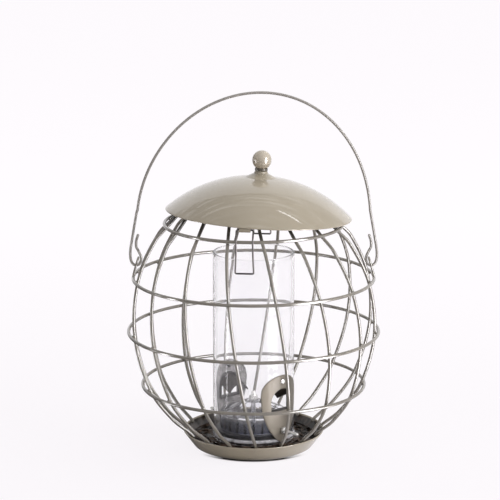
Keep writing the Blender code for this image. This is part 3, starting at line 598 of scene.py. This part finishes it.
def shield_grid(rings=12, lip=0.0004, count=220):
    """The wrapped shield: rays from the opening's edge to the outline, out over the face, round both
    rolled edges and back along the tube side."""
    center = np.array([0, OPENING_SPRING])
    inner = by_angle(opening_edge(0), center, count)
    outer = by_angle(shield_edge(), center, count)
    out = unit(outer - inner)
    t = np.linspace(0, 1, rings + 1)[:, None, None]
    face = (inner + out * lip) * (1 - t) + (outer - out * lip) * t
    front = TUBE_RADIUS + CLEARANCE + SHIELD_WALL
    back = TUBE_RADIUS + CLEARANCE
    a = np.radians(np.linspace(0, 90, 5))[1:]
    rows = [wrapped(row, front) for row in face]
    rows += [wrapped(outer - out * lip * (1 - np.sin(k)), front - lip * (1 - np.cos(k))) for k in a]
    rows += [wrapped(outer, back)]
    rows += [wrapped(row, back) for row in face[::-1]]
    rows += [wrapped(inner, back)]
    rows += [wrapped(inner + out * lip * (1 - np.sin(k)), front - lip * (1 - np.cos(k))) for k in a[::-1]]
    rows += [rows[0]]
    return np.stack(rows)


def sleeve_grid():
    """The lining: the opening's outline carried in from the tube's skin, as an inner and an outer wall."""
    mouth, wall = opening_edge(0), opening_edge(SLEEVE_WALL)
    inner_end = TUBE_RADIUS - SLEEVE_DEPTH
    skin = -np.sqrt(TUBE_RADIUS**2 - wall[:, 0]**2)
    outside = np.stack([wall[:, 0], skin, wall[:, 1]], -1)
    inside = np.stack([mouth[:, 0], skin, mouth[:, 1]], -1)
    return np.stack([outside, outline_at(wall, inner_end), outline_at(mouth, inner_end), inside, outside])


def awning_grid(steps=24):
    """The awning: a strip of the arch that runs inwards and slopes down over the seed."""
    a = AWNING_SPRING
    outer = arc(OPENING_HALF + SLEEVE_WALL, -a, a, steps, (0, OPENING_SPRING))
    inner = arc(OPENING_HALF, a, -a, steps, (0, OPENING_SPRING))
    loop = np.concatenate([outer, inner, outer[:1]])
    start, end = TUBE_RADIUS - AWNING_START, TUBE_RADIUS - SLEEVE_DEPTH - AWNING_REACH
    middle = (outer + inner[::-1]) / 2
    middle = np.concatenate([middle, middle[::-1], middle[:1]])
    rows = [outline_at(loop - [0, AWNING_DROP * t], start + (end - start) * t) for t in np.linspace(0, 1, 8)]
    caps = [outline_at(middle, start), outline_at(middle - [0, AWNING_DROP], end)]
    return np.stack([caps[0], *rows, caps[1]])


def pointing_out(grid, height):
    """An upright grid laid down so that its axis points out of the tube at a height."""
    return np.stack([grid[..., 0], -grid[..., 2], height + grid[..., 1]], -1)


enamel_shield = enamel("enamel_shield", (0.405, 0.358, 0.297), (0.368, 0.325, 0.268), 0.12, coat=0.12)
where = place(enamel_shield)
# Painted shade: the enamel darkens towards +X, over the front shield's right flank.
darken(enamel_shield, spread(axes(where)[0], 0.015, 0.032), (0.140, 0.123, 0.100))
bare = blend_colors(spread(noise(where, 160, 4, 0.6), 0.42, 0.60),
                    (0.34, 0.32, 0.31), (0.08, 0.07, 0.07))
skin = (TUBE_RADIUS + SHIELD_WALL * 0.4, TUBE_RADIUS + SHIELD_WALL * 0.8)
darken(enamel_shield, spread(from_axis(where), *skin, 1, 0), bare)
lining = moulded("lining_plastic", (0.022, 0.016, 0.011), 0.50)
# The perch rods take a paler, less metallic copy of the plating, so they show white: painted light for their
# glints.
pale = plated("pale_plating", (0.90, 0.89, 0.87), 0.15, 0.30)
front_face = TUBE_RADIUS + CLEARANCE + SHIELD_WALL
# The screw heads and perch nuts are painted dark next to the shield: painted shade under the head.
plating_shaded_at_shield = plated("screw_plating")
where = place(plating_shaded_at_shield)
shade_under_head = (front_face + 0.0007, front_face + 0.0012)
darken(plating_shaded_at_shield, spread(from_axis(where), *shade_under_head, 1, 0), (0.030, 0.028, 0.025))

pan = np.array([(0, -0.006), (SCREW_SHANK, -0.006), (SCREW_SHANK, 0), (SCREW_HEAD, 0),
                (SCREW_HEAD - 0.0001, 0.0010), (0.0008, SCREW_CROWN), (0, SCREW_CROWN)])
pan = turned(rounded(pan + [0, front_face], 0.0004), 32)
head_top = np.sqrt(TUBE_BORE**2 - PERCH_HEAD**2) - CLEARANCE
head_low = head_top - PERCH_HEAD_WALL
rod = rounded([(0, head_low), (PERCH_HEAD, head_low), (PERCH_HEAD, head_top), (PERCH_RADIUS, head_top),
               (PERCH_RADIUS, head_top + 0.001)], 0.0003)
rod_end = front_face + PERCH_LENGTH - PERCH_RADIUS
rod = turned(np.concatenate([rod, arc(PERCH_RADIUS, 90, 0, 8, (0, rod_end))]), 32)
locknut = hexagon_nut(PERCH_RADIUS, PERCH_NUT_RADIUS, front_face + CLEARANCE, PERCH_NUT_HEIGHT)
for name, angle in PORT_ANGLES:
    for piece, grids, finish, sharp, slot, node in (
            ("shield", [shield_grid()], enamel_shield, 40, "plate_enamel", "port_plate"),
            ("lining", [sleeve_grid(), awning_grid()], lining, 40, "hood_plastic", "port_hood"),
            ("shield_screw", [pointing_out(pan, SCREW_HEIGHT)], plating_shaded_at_shield, 40, "bright_metal", "port_screw"),
            ("perch_rod", [pointing_out(rod, PERCH_HEIGHT)], pale, 40, "bright_metal", "perch"),
            ("perch_hexagon", [pointing_out(locknut, PERCH_HEIGHT)], plating_shaded_at_shield, 25, "bright_metal", "perch_nut")):
        grids = [turned_to(angle, grid) for grid in grids]
        seat(surface(f"{piece}_{name}", grids, finish, sharp), "cage", slot, f"{node}_{name}")

# The cage: five level hoops and sixteen bars of 3 mm wire. The bars lean one way as they follow
# the globe, lie inside the hoops, and are spot welded where they cross. All is enamelled.
WIRE = 0.0030
HOOPS = np.array([(0.0600, 0.2331), (0.0817, 0.2095), (0.1105, 0.1591), (0.1152, 0.1087), (0.1025, 0.0583)])
HOOP_NODES = ("hoop_neck", "hoop_1", "hoop_2", "hoop_3", "hoop_4")
BARS = 16
BAR_LEAN = np.radians(8.2)
BAR_START = np.radians(5.6)
BAR_STUB = 0.0022
BAR_SHOULDER = (0.30, 0.0039)
BAR_BELLY = (0.61, 0.0034)
BAR_RIM = np.array([RIM_RADIUS - 0.0021, DISH_HEIGHT + 0.0020])
BAR_FOOT = np.array([0.0024, 0.0028])
BAR_STEPS = (3, 16, 10, 12, 24, 22, 10, 10, 5)
WIRE_SIDES = 16
BAR_SKIN = (0.1851, 0.1857)
LID_SHADE = (0.2065, 0.2130)


def smooth_run(points, steps):
    """A smooth curve through points: each span is a cubic that leaves and arrives along its neighbours."""
    points = np.asarray(points, float)
    run = [points[:1]]
    last = len(points) - 1
    for index, count in enumerate(steps):
        start, end = points[index], points[index + 1]
        length = np.linalg.norm(end - start)
        leave, arrive = end - points[max(index - 1, 0)], points[min(index + 2, last)] - start
        leave, arrive = leave * length / np.linalg.norm(leave), arrive * length / np.linalg.norm(arrive)
        t = np.linspace(0, 1, count + 1)[1:, None]
        run.append(start * (2 * t**3 - 3 * t**2 + 1) + leave * (t**3 - 2 * t**2 + t)
                   + end * (3 * t**2 - 2 * t**3) + arrive * (t**3 - t**2))
    return np.concatenate(run)


def wire(path, radius, side, sides=WIRE_SIDES, rounding=4):
    """A round wire: a circle carried along a path, square to it, and closed by a dome at each end."""
    along = unit(np.gradient(path, axis=0))
    first = unit(side - (side * along).sum(-1, keepdims=True) * along)
    second = np.cross(along, first)
    a = np.linspace(0, 2 * np.pi, sides + 1)[None, :, None]
    ring = np.cos(a) * first[:, None] + np.sin(a) * second[:, None]
    body = path[:, None] + radius * ring
    dome = np.radians(np.linspace(0, 90, rounding + 1))[:, None, None]
    start = path[0] - along[0] * radius * np.cos(dome) + ring[0] * radius * np.sin(dome)
    end = path[-1] + along[-1] * radius * np.cos(dome[::-1]) + ring[-1] * radius * np.sin(dome[::-1])
    return np.concatenate([start, body[1:-1], end])


def swelled(start, end, share, swell):
    """A point at a share of the way down, pushed outwards from the straight line."""
    fall = end - start
    return start + fall * share + unit(np.array([-fall[1], fall[0]])) * swell


def bar_section():
    """The bars' centre line as (radius, height), one wire inside every hoop, then over the dish's rim."""
    line = np.concatenate([HOOPS[:1], HOOPS, BAR_RIM[None]])
    tangent = unit(line[2:] - line[:-2])
    inward = np.stack([tangent[:, 1], -tangent[:, 0]], -1)
    seats = HOOPS + inward * (WIRE + CLEARANCE)
    top = seats[0] + unit(seats[0] - seats[1]) * BAR_STUB
    shoulder = swelled(seats[1], seats[2], *BAR_SHOULDER)
    belly = swelled(seats[-1], BAR_RIM, *BAR_BELLY)
    return np.concatenate([[top], seats[:2], [shoulder], seats[2:], [belly, BAR_RIM, BAR_RIM - BAR_FOOT]])


def at_angle(radius, angle, height):
    """A point, or many, at a radius and an angle from the front."""
    return np.stack(np.broadcast_arrays(radius * np.sin(angle), -radius * np.cos(angle), height), -1)


enamel_wire = enamel("enamel_wire", (0.232, 0.210, 0.179), (0.192, 0.173, 0.147), 0.08, 0.000003, 1.8)
where = place(enamel_wire)
height = axes(where)[2]
# Painted shade under the lid: the bars' tops and the neck hoop go dark and lose most of their coat.
on_bars = spread(plus(from_axis(where), times(height, 0.5)), *BAR_SKIN, 1, 0)
darken(enamel_wire, times(on_bars, spread(height, *LID_SHADE)), (0.050, 0.045, 0.038), 0.40)
section = smooth_run(bar_section(), BAR_STEPS)
step_length = np.linalg.norm(np.diff(section, axis=0), axis=1)
step_radius = (section[1:, 0] + section[:-1, 0]) / 2
turns = np.concatenate([[0], np.cumsum(np.tan(BAR_LEAN) * step_length / step_radius)])
turns = turns - turns[sum(BAR_STEPS[:2])]
bar_turns = BAR_START + 2 * np.pi * np.arange(BARS)[:, None] / BARS + turns
for index, angle in enumerate(bar_turns):
    path = at_angle(section[:, 0], angle, section[:, 1])
    side = at_angle(1.0, angle, 0.0)
    seat(surface(f"cage_bar_{index + 1:02d}", [wire(path, WIRE / 2, side)], enamel_wire),
         "cage", "enamel", f"bar_{index + 1:02d}")


def hoop_grid(radius, height, count=240, sides=WIRE_SIDES):
    """A ring of wire: a small circle swung round the axis at the hoop's radius."""
    a = np.linspace(0, 2 * np.pi, sides + 1) + np.pi / sides
    return turned(np.stack([radius + WIRE / 2 * np.cos(a), height + WIRE / 2 * np.sin(a)], -1), count)


for node, (radius, height) in zip(HOOP_NODES, HOOPS):
    seat(surface(f"cage_{node}", [hoop_grid(radius, height)], enamel_wire), "cage", "enamel", node)

WELD_SIZE = 0.0030
WELD_SHARES = np.array((0.62, 0.62, 0.40))
HOOP_SPANS = [0, 1, 3, 4, 5]


def weld_beads(centers, outward, upward):
    """Small flattened balls of weld metal: one grid of a unit ball, set at every crossing at once."""
    u, v = np.meshgrid(np.linspace(0, np.pi, 7), np.linspace(0, 2 * np.pi, 13), indexing="ij")
    ball = np.stack([np.sin(u) * np.cos(v), np.sin(u) * np.sin(v), np.cos(u)], -1)
    sideways = np.cross(outward, upward)
    own_axes = np.stack([sideways, upward, outward], 1)
    ball = ball * WELD_SIZE * WELD_SHARES
    return list(centers[:, None, None] + np.einsum("uvk,nkx->nuvx", ball, own_axes))


crossings = np.cumsum(BAR_STEPS)[HOOP_SPANS]
bead_turns = bar_turns[:, crossings]
half_way = (section[crossings] + HOOPS) / 2
bead_centers = at_angle(half_way[:, 0], bead_turns, half_way[:, 1]).reshape(-1, 3)
push = unit(HOOPS - section[crossings])
bead_out = at_angle(push[:, 0], bead_turns, push[:, 1]).reshape(-1, 3)
bead_side = at_angle(1.0, bead_turns + np.pi / 2, 0.0).reshape(-1, 3)
bead_up = unit(np.cross(bead_out, bead_side))
seat(surface("weld_beads", weld_beads(bead_centers, bead_out, bead_up), enamel_wire),
     "cage", "enamel")

# The eyelets: a bent loop of 2 mm wire is welded upright on the second hoop at each side, and
# leans in with the globe. The bail's hooks hang in them.
EYELET_WIRE = 0.0020
EYELET_HALF = 0.0045
EYELET_TOP = 0.1772
EYELET_LEAN = 0.0048
hoop_radius, hoop_height = HOOPS[2]
eyelet_foot = hoop_height + WIRE / 2 + CLEARANCE
for name, side in (("left", -1), ("right", 1)):
    low = np.array([side * hoop_radius, -EYELET_HALF, eyelet_foot])
    high = np.array([side * (hoop_radius - EYELET_LEAN), -EYELET_HALF, EYELET_TOP])
    flip = (1, -1, 1)
    loop = rounded([low, high, high * flip, low * flip], EYELET_HALF * 0.9, 14)
    legs = np.linspace(loop[0], loop[1], 8), np.linspace(loop[-2], loop[-1], 8)
    loop = np.concatenate([legs[0], loop[2:-2], legs[1]])
    lean_out = np.broadcast_to([eyelet_foot - EYELET_TOP, 0, -side * EYELET_LEAN], loop.shape)
    seat(surface(f"bail_eyelet_{name}", [wire(loop, EYELET_WIRE / 2, lean_out, 12)], enamel_wire),
         "cage", "enamel", f"eyelet_{name}")

# The lid: a spun dome of enamelled sheet that sits loosely on the neck hoop, a little askew, with
# a flared collar and a ball on top. One screw from below holds the three together.
SPHERE = 0.1243
LID_RADIUS = 0.0854
LID_LEAN = np.radians(4.25)
LID_LOW_SIDE = np.radians(127.3)
LID_SHIFT = 0.0007
LID_SEAT = SPHERE - SHEET - CLEARANCE - WIRE / 2
LID_CENTER = HOOPS[0, 1] - np.sqrt(LID_SEAT**2 - (HOOPS[0, 0] + LID_SHIFT)**2)
COLLAR_RADIUS = 0.0141
COLLAR_TOP_RADIUS = 0.0058
COLLAR_HEIGHT = 0.0050
COLLAR_LIP = 0.0002
BALL_RADIUS = 0.0089
BALL_HEIGHT = 0.0151
RING_RADIUS = 0.0059
CREASE_RADIUS = 0.0049
KNOB_SHANK = 0.0020
KNOB_HEAD = 0.0042
KNOB_HEAD_WALL = 0.0024


def on_lid(grid):
    """A grid about the dome's centre, leaned towards the low side and lifted into place."""
    k = np.array([np.cos(LID_LOW_SIDE), np.sin(LID_LOW_SIDE), 0])
    spin = np.cos(LID_LEAN) * grid + np.sin(LID_LEAN) * np.cross(k, grid)
    spin = spin + (1 - np.cos(LID_LEAN)) * (grid @ k)[..., None] * k
    return spin + [-LID_SHIFT, 0, LID_CENTER]


enamel_lid = enamel("enamel_lid", TAUPE, (0.338, 0.294, 0.224), 0.012, 0.000003)
rim_angle = np.degrees(np.arcsin(LID_RADIUS / SPHERE))
middle_radius = SPHERE - SHEET / 2
lip_center = middle_radius * np.array([np.sin(np.radians(rim_angle)), np.cos(np.radians(rim_angle))])
dome_section = np.concatenate([
    arc(SPHERE, 0, rim_angle, 72),
    arc(SHEET / 2, rim_angle, rim_angle + 180, 8, lip_center)[1:-1],
    arc(SPHERE - SHEET, rim_angle, 0, 48),
])
seat(surface("lid_shell", [on_lid(turned(dome_section, 224))], enamel_lid), "lid", "enamel", "lid_dome")

collar_top = SPHERE + COLLAR_HEIGHT
foot_height = np.sqrt(SPHERE**2 - COLLAR_RADIUS**2)
flare = rounded([(COLLAR_RADIUS, foot_height), (COLLAR_RADIUS - 0.0002, foot_height + COLLAR_LIP),
                 (COLLAR_RADIUS - 0.0042, SPHERE + 0.0012), (COLLAR_TOP_RADIUS + 0.0006, SPHERE + 0.0030),
                 (COLLAR_TOP_RADIUS, collar_top)], 0.0030, 8)
collar_cap = [(COLLAR_TOP_RADIUS - 0.0006, collar_top + 0.0003), (0, collar_top + 0.0003)]
collar_section = np.concatenate([[(0, foot_height)], flare, collar_cap])
seat(surface("flared_collar", [on_lid(turned(collar_section, 96))], enamel_lid, 60),
     "lid", "enamel", "finial_collar")

ring_foot = collar_top + CLEARANCE
ball_center = SPHERE + BALL_HEIGHT
waist = 180 - np.degrees(np.arcsin(CREASE_RADIUS / BALL_RADIUS))
crease = ball_center - np.sqrt(BALL_RADIUS**2 - CREASE_RADIUS**2)
ring = rounded([(0, ring_foot), (RING_RADIUS, ring_foot), (RING_RADIUS, crease),
                (CREASE_RADIUS, crease)], 0.0006)
ball_section = np.concatenate([ring, arc(BALL_RADIUS, waist, 0, 40, (0, ball_center))])
# The ball takes a paler copy of the lid's enamel: painted light. Its ring below the crease is painted dark
# with little coat: painted shade under the ball.
enamel_ball_painted_light_and_shade = enamel("enamel_ball_painted_light_and_shade", (0.500, 0.442, 0.362), (0.470, 0.414, 0.336), 0.04, 0.000004)
where = place(enamel_ball_painted_light_and_shade)
shade_under_ball = (LID_CENTER + crease - 0.0001, LID_CENTER + crease + 0.0004)
darken(enamel_ball_painted_light_and_shade, spread(axes(where)[2], *shade_under_ball, 1, 0), (0.130, 0.115, 0.095), 0.1)
seat(surface("finial_knob", [on_lid(turned(ball_section, 96))], enamel_ball_painted_light_and_shade),
     "lid", "enamel", "finial_ball")

screw_top = SPHERE - SHEET - CLEARANCE
screw_low = screw_top - KNOB_HEAD_WALL
screw_section = rounded([(0, screw_low), (KNOB_HEAD / 2, screw_low),
                         (KNOB_HEAD, screw_top - KNOB_HEAD_WALL / 2), (KNOB_HEAD, screw_top),
                         (KNOB_SHANK, screw_top), (KNOB_SHANK, ring_foot), (0, ring_foot)], 0.0004)
seat(surface("knob_screw", [on_lid(turned(screw_section, 40))], bright),
     "lid", "bright_metal", "finial_screw")

# The latches: a U of thin spring wire turns in a barrel under the dome at the front and the rear.
# Its legs pass outside the first hoop, catch under it and run down to a finger grip.
LATCH_WIRE = 0.0016
LATCH_ANGLES = (("front", np.radians(-5.7)), ("rear", np.radians(174.3)))
LATCH_TOP_HALF = 0.0075
LATCH_FOOT_HALF = 0.00825
LATCH_CATCH = 0.0012
LATCH_RAMP = 0.0085
LATCH_DROP = 0.0280
LATCH_BEND = 0.0016
LATCH_GAP = 0.0012
LATCH_STEP = 0.0012
BARREL_RADIUS = 0.0022
BARREL_HALF = 0.0050
LATCH_INSET = 0.0035
BARREL_SEAT = SPHERE - SHEET - CLEARANCE - BARREL_RADIUS


def latch_path(pivot_height):
    """Half the latch, from the gap in its top to the middle of its foot, then the mirrored half."""
    out = LATCH_INSET + WIRE / 2 + CLEARANCE + LATCH_WIRE / 2
    hoop = HOOPS[1, 1] - pivot_height
    above, below, foot = hoop + WIRE, hoop - WIRE / 2 - LATCH_WIRE / 2, hoop - LATCH_DROP
    top, low = LATCH_TOP_HALF, LATCH_FOOT_HALF
    half = np.array([(-LATCH_GAP / 2, 0, 0), (-top, 0, 0), (-top, -out, above), (-top, -out, below),
                     (-top, LATCH_CATCH - out, below - LATCH_RAMP), (-low, LATCH_CATCH - out, foot)])
    run = rounded(np.concatenate([half, half[::-1] * [-1, 1, 1]]), LATCH_BEND, 8)
    gaps = np.linalg.norm(np.diff(run, axis=0), axis=1)
    counts = [max(2, int(gap / LATCH_STEP)) for gap in gaps]
    extra = [np.linspace(a, b, count)[:-1] for a, b, count in zip(run, run[1:], counts)]
    return np.concatenate(extra + [run[-1:]])


grey_spring, shader, where = blank_finish("spring_steel")
tone = noise(where, 900, 3)
feed(blend_colors(tone, (0.15, 0.14, 0.135), (0.09, 0.08, 0.08)), shader.inputs["Base Color"])
feed(spread(tone, 0.3, 0.7, 0.28, 0.42), shader.inputs["Roughness"])
shader.inputs["Metallic"].default_value = 0.9

bore = LATCH_WIRE / 2 + CLEARANCE
lying = turned(closed_ring([(bore, -BARREL_HALF), (BARREL_RADIUS, -BARREL_HALF),
                            (BARREL_RADIUS, BARREL_HALF), (bore, BARREL_HALF)], 0.0004), 32)
lying = np.stack([lying[..., 2], lying[..., 0], lying[..., 1]], -1)
for name, angle in LATCH_ANGLES:
    pivot = at_angle(HOOPS[1, 0] - LATCH_INSET, angle, LID_CENTER)
    pivot[2] += np.sqrt(BARREL_SEAT**2 - (pivot[0] + LID_SHIFT)**2 - pivot[1]**2)
    path = latch_path(pivot[2])
    along = unit(np.gradient(path, axis=0))
    hint = np.cross(along, [0.0, 1.0, 0.0])
    weak = np.linalg.norm(hint, axis=1) < 0.2
    hint[weak] = [1.0, 0.0, 0.0]
    spring = turned_to(angle, wire(path, LATCH_WIRE / 2, hint, 12)) + pivot
    seat(surface(f"latch_wire_{name}", [spring], grey_spring),
         f"latch_{name}", "latch_metal", f"latch_{name}")
    seat(surface(f"latch_barrel_{name}", [turned_to(angle, lying) + pivot], enamel_lid),
         "lid", "enamel", f"latch_bracket_{name}")

# The bail: one 2.5 mm wire, bent by hand into an oval arch that leans a little to the right. Each
# end is turned into a hook that hangs in its eyelet.
BAIL_WIRE = 0.0025
BAIL_HALF = 0.1068
BAIL_BASE = 0.2096
BAIL_RISE = 0.1205
BAIL_SKEW = 0.0065
BAIL_START = np.radians(5.8)
HOOK_HEIGHT = 0.1700
HOOK_SPREAD = 0.1080
HOOK_WIDTH = 0.0098
HOOK_TIP = 0.0282
HOOK_SHARES = np.array(((-0.35, 0.84), (-0.50, 0.50), (-0.50, 0.25), (-0.34, 0.07), (0.00, 0.00),
                        (0.34, 0.05), (0.50, 0.24), (0.25, 0.48), (0.06, 0.60), (0.05, 0.80), (0.22, 1.00)))
hook = np.stack([HOOK_SPREAD - HOOK_SHARES[:, 0] * HOOK_WIDTH, np.zeros(len(HOOK_SHARES)),
                 HOOK_HEIGHT + HOOK_SHARES[:, 1] * HOOK_TIP], -1)
swing = np.linspace(BAIL_START, np.pi - BAIL_START, 121)
lift = np.sin(swing)
sideways = BAIL_HALF * np.cos(swing) + BAIL_SKEW * lift**1.5
arch = np.stack([sideways, 0 * lift, BAIL_BASE + BAIL_RISE * lift], -1)
right = smooth_run(np.concatenate([arch[:1], hook]), (12, 6, 5, 5, 6, 6, 5, 6, 4, 5, 5))[1:]
bail_path = np.concatenate([right[::-1], arch, right * [-1, 1, 1]])
bail_side = np.broadcast_to([0.0, 1.0, 0.0], bail_path.shape)
enamel_bail = enamel("enamel_bail", (0.330, 0.308, 0.287), (0.290, 0.271, 0.252), 0.15, 0.0, 1.8, 0.4)
seat(surface("carrying_bail", [wire(bail_path, BAIL_WIRE / 2, bail_side)], enamel_bail),
     "bail", "enamel", "bail")

# The studio: a white floor that keeps a soft shadow, cast by the lamps and painted round the dish,
# and a white surround. What the glossy enamel mirrors is a bright backdrop that ends in an arch, a
# dim room above and in front, a dark table on the left and a lit strip of table on the right.
FLOOR_SIZE = 12.0
GROUND_WHITE = (0.997, 0.968, 0.997)
PAPER = (0.86, 0.84, 0.85)
CONTACT_DARK = (0.05, 0.045, 0.045)
CONTACT_SIDES = np.radians((30.0, 55.0, 110.0, 130.0))
SHELTER = 0.0045
TABLE_DARK, TABLE_LIGHT = 0.10, 0.80
STRIP = np.radians((36.0, 42.0, 64.0, 72.0))
THIN_STRIP = np.radians((-83.0, -80.0, -75.0, -72.0))
STRIP_LIGHT = 15.0
BACKDROP_WHITE = (1.0, 0.985, 1.0)
ARCH_TOP = 1.22
ARCH_BEND = 1.55
ARCH_LEAN = 0.15
ROOM_FRONT, ROOM_BACK = 0.30, 0.42
ARCH_LINE = 0.40
BANDS_LIGHT = 1.3
LEFT_LIGHT = 0.12
TUBE_LIGHT = 9.0
TUBE_SLOPE = 0.247
TUBE_START = 0.435
SOFT_LEFT, SOFT_RIGHT = 0.17, 0.60


def facing_of(x, y):
    """The angle round the upright axis, from the front towards +X."""
    return number("ARCTAN2", x, times(y, -1.0))


studio_white = bpy.data.materials.new("studio_white")
ground = surface("studio_floor", [turned([(FLOOR_SIZE, 0), (0, 0)], 64)], studio_white)
studio_white.use_nodes = True
nodes = studio_white.node_tree.nodes
nodes.clear()
rays = nodes.new("ShaderNodeLightPath").outputs
seen = number("MAXIMUM", rays["Is Camera Ray"], rays["Is Transmission Ray"])
mirrored = times(rays["Is Glossy Ray"], number("SUBTRACT", 1.0, seen))
x, y, _ = axes(nodes.new("ShaderNodeTexCoord").outputs["Object"])
facing = facing_of(x, y)
# The floor glows only for mirrored rays, dark on the left and in lit strips on the right: painted reflection.
past_dish = spread(plus(times(x, x), times(y, y)), 0.02, 0.03, 0, STRIP_LIGHT)
table = spread(number("SINE", facing), -0.2, 0.6, TABLE_DARK, TABLE_LIGHT)
for edges in (STRIP, THIN_STRIP):
    table = plus(table, times(between(facing, edges), past_dish))
table = number("MAXIMUM", table, spread(y, 0.6, 0.8))
# Seen straight on, the floor's glow grows a little towards the back: painted light.
plain = times(seen, spread(y, 0.1, 1.0, 0.99, 1.06))
glow = nodes.new("ShaderNodeEmission")
glow.inputs["Color"].default_value = (*GROUND_WHITE, 1)
feed(plus(plain, times(mirrored, table)), glow.inputs["Strength"])
# Painted shadow: where the floor is sheltered by the dish its paper is painted dark and glows less. At the
# dish's sides that shadow is left out, which is painted light.
shelter = nodes.new("ShaderNodeAmbientOcclusion")
shelter.inputs["Distance"].default_value = SHELTER
open_air = shelter.outputs["AO"]
sides = between(number("ABSOLUTE", facing), CONTACT_SIDES)
open_share = number("MAXIMUM", spread(open_air, 0.50, 0.97, 0, 0.90), times(sides, 0.90))
unshaded_share = number("MAXIMUM", spread(open_air, 0.50, 0.85), sides)
paper = nodes.new("ShaderNodeBsdfDiffuse")
feed(blend_colors(unshaded_share, CONTACT_DARK, PAPER), paper.inputs["Color"])
floor_look = blend_shaders(plus(times(open_share, seen), mirrored), paper, glow)
feed(floor_look.outputs[0], nodes.new("ShaderNodeOutputMaterial").inputs["Surface"])

world = bpy.data.worlds.new("studio")
bpy.context.scene.world = world
world.use_nodes = True
nodes = world.node_tree.nodes
backdrop = nodes["Background"]
backdrop.inputs["Color"].default_value = (*BACKDROP_WHITE, 1)
x, y, z = axes(nodes.new("ShaderNodeTexCoord").outputs["Generated"])
behind = number("MAXIMUM", y, 0.02)
aside = number("DIVIDE", x, behind)
arch = number("SUBTRACT", ARCH_TOP, times(aside, aside, ARCH_BEND), times(aside, ARCH_LEAN))
above = number("SUBTRACT", number("DIVIDE", z, behind), arch)
backdrop_share = spread(above, -0.05, 0.0, 1, 0)
line = times(between(above, (-0.04, 0.0, 0.0, 0.12)), ARCH_LINE)
room = number("SUBTRACT", spread(y, -0.2, 0.6, ROOM_FRONT, ROOM_BACK), line)
overhead = number("MAXIMUM", z, 0.1)
across, along = number("DIVIDE", x, overhead), number("DIVIDE", y, overhead)
stretched = nodes.new("ShaderNodeCombineXYZ")
feed(times(across, 0.9), stretched.inputs["X"])
feed(times(along, 9.0), stretched.inputs["Y"])
bands = spread(noise(stretched.outputs[0], 1.6, 2), 0.52, 0.66, 0, BANDS_LIGHT)
room = plus(number("MAXIMUM", room, 0.0), bands)
mirrored = plus(backdrop_share, times(number("SUBTRACT", 1.0, backdrop_share), room))
left = number("MAXIMUM", spread(x, -0.62, -0.40, LEFT_LIGHT), spread(z, 0.15, 0.40))
off_tube = number("ABSOLUTE", plus(along, times(across, TUBE_SLOPE), -TUBE_START))
tube_light = times(spread(off_tube, 0.006, 0.020, TUBE_LIGHT, 0),
                   between(across, (0.25, 0.30, 0.52, 0.60)))
strip = times(between(facing_of(x, y), STRIP), spread(z, 0.40, 0.60, STRIP_LIGHT, 0))
mirrored = plus(times(mirrored, left), tube_light, strip)
rays = nodes.new("ShaderNodeLightPath").outputs
direct = number("MAXIMUM", rays["Is Camera Ray"], rays["Is Transmission Ray"])
glossy = times(rays["Is Glossy Ray"], mirrored, number("SUBTRACT", 1.0, direct))
rest = number("SUBTRACT", 1.0, number("MAXIMUM", direct, rays["Is Glossy Ray"]))
soft = times(rest, spread(x, -0.7, 0.7, SOFT_LEFT, SOFT_RIGHT))
feed(plus(direct, glossy, soft), backdrop.inputs["Strength"])


def lamp(name, spot, target, size, power, mirrored=True):
    """A soft square lamp that faces a target."""
    data = bpy.data.lights.new(name, "AREA")
    data.size = size
    data.energy = power
    item = bpy.data.objects.new(name, data)
    bpy.context.collection.objects.link(item)
    item.location = spot
    toward = np.subtract(target, spot)
    item.rotation_euler = (np.arccos(-toward[2] / np.linalg.norm(toward)), 0,
                           np.arctan2(toward[1], toward[0]) - np.pi / 2)
    item.visible_glossy = mirrored


lamp("overhead", (0.3, 0.1, 1.7), (0, 0, 0.15), 1.2, 13, False)
lamp("key", (1.7, -0.3, 0.75), (0, 0, 0.15), 0.9, 15, False)
lamp("front", (0.2, -2.2, 1.2), (0, 0, 0.15), 0.8, 10, False)
lamp("right_front", (1.2, -1.34, 0.05), (0, 0, 0.25), 0.3, 3)
lamp("left", (-1.7, 0.2, 0.05), (0, 0, 0.25), 0.3, 3)

# The camera: far off and a little above, level with the middle of the globe.
CAMERA_DISTANCE = 2.2
CAMERA_PITCH = np.radians(12.78)
CAMERA_TARGET = (-0.0033, 0.0, 0.1843)
FOCAL_PIXELS = 2400.3
IMAGE_PIXELS = 500
SENSOR = 36.0
eye = bpy.data.objects.new("camera", bpy.data.cameras.new("camera"))
bpy.context.collection.objects.link(eye)
eye.data.sensor_width = SENSOR
eye.data.lens = SENSOR * FOCAL_PIXELS / IMAGE_PIXELS
eye.location = (CAMERA_TARGET[0], -CAMERA_DISTANCE * np.cos(CAMERA_PITCH),
                CAMERA_TARGET[2] + CAMERA_DISTANCE * np.sin(CAMERA_PITCH))
eye.rotation_euler = (np.pi / 2 - CAMERA_PITCH, 0, 0)
bpy.context.scene.camera = eye
bpy.context.scene.view_settings.view_transform = "Standard"
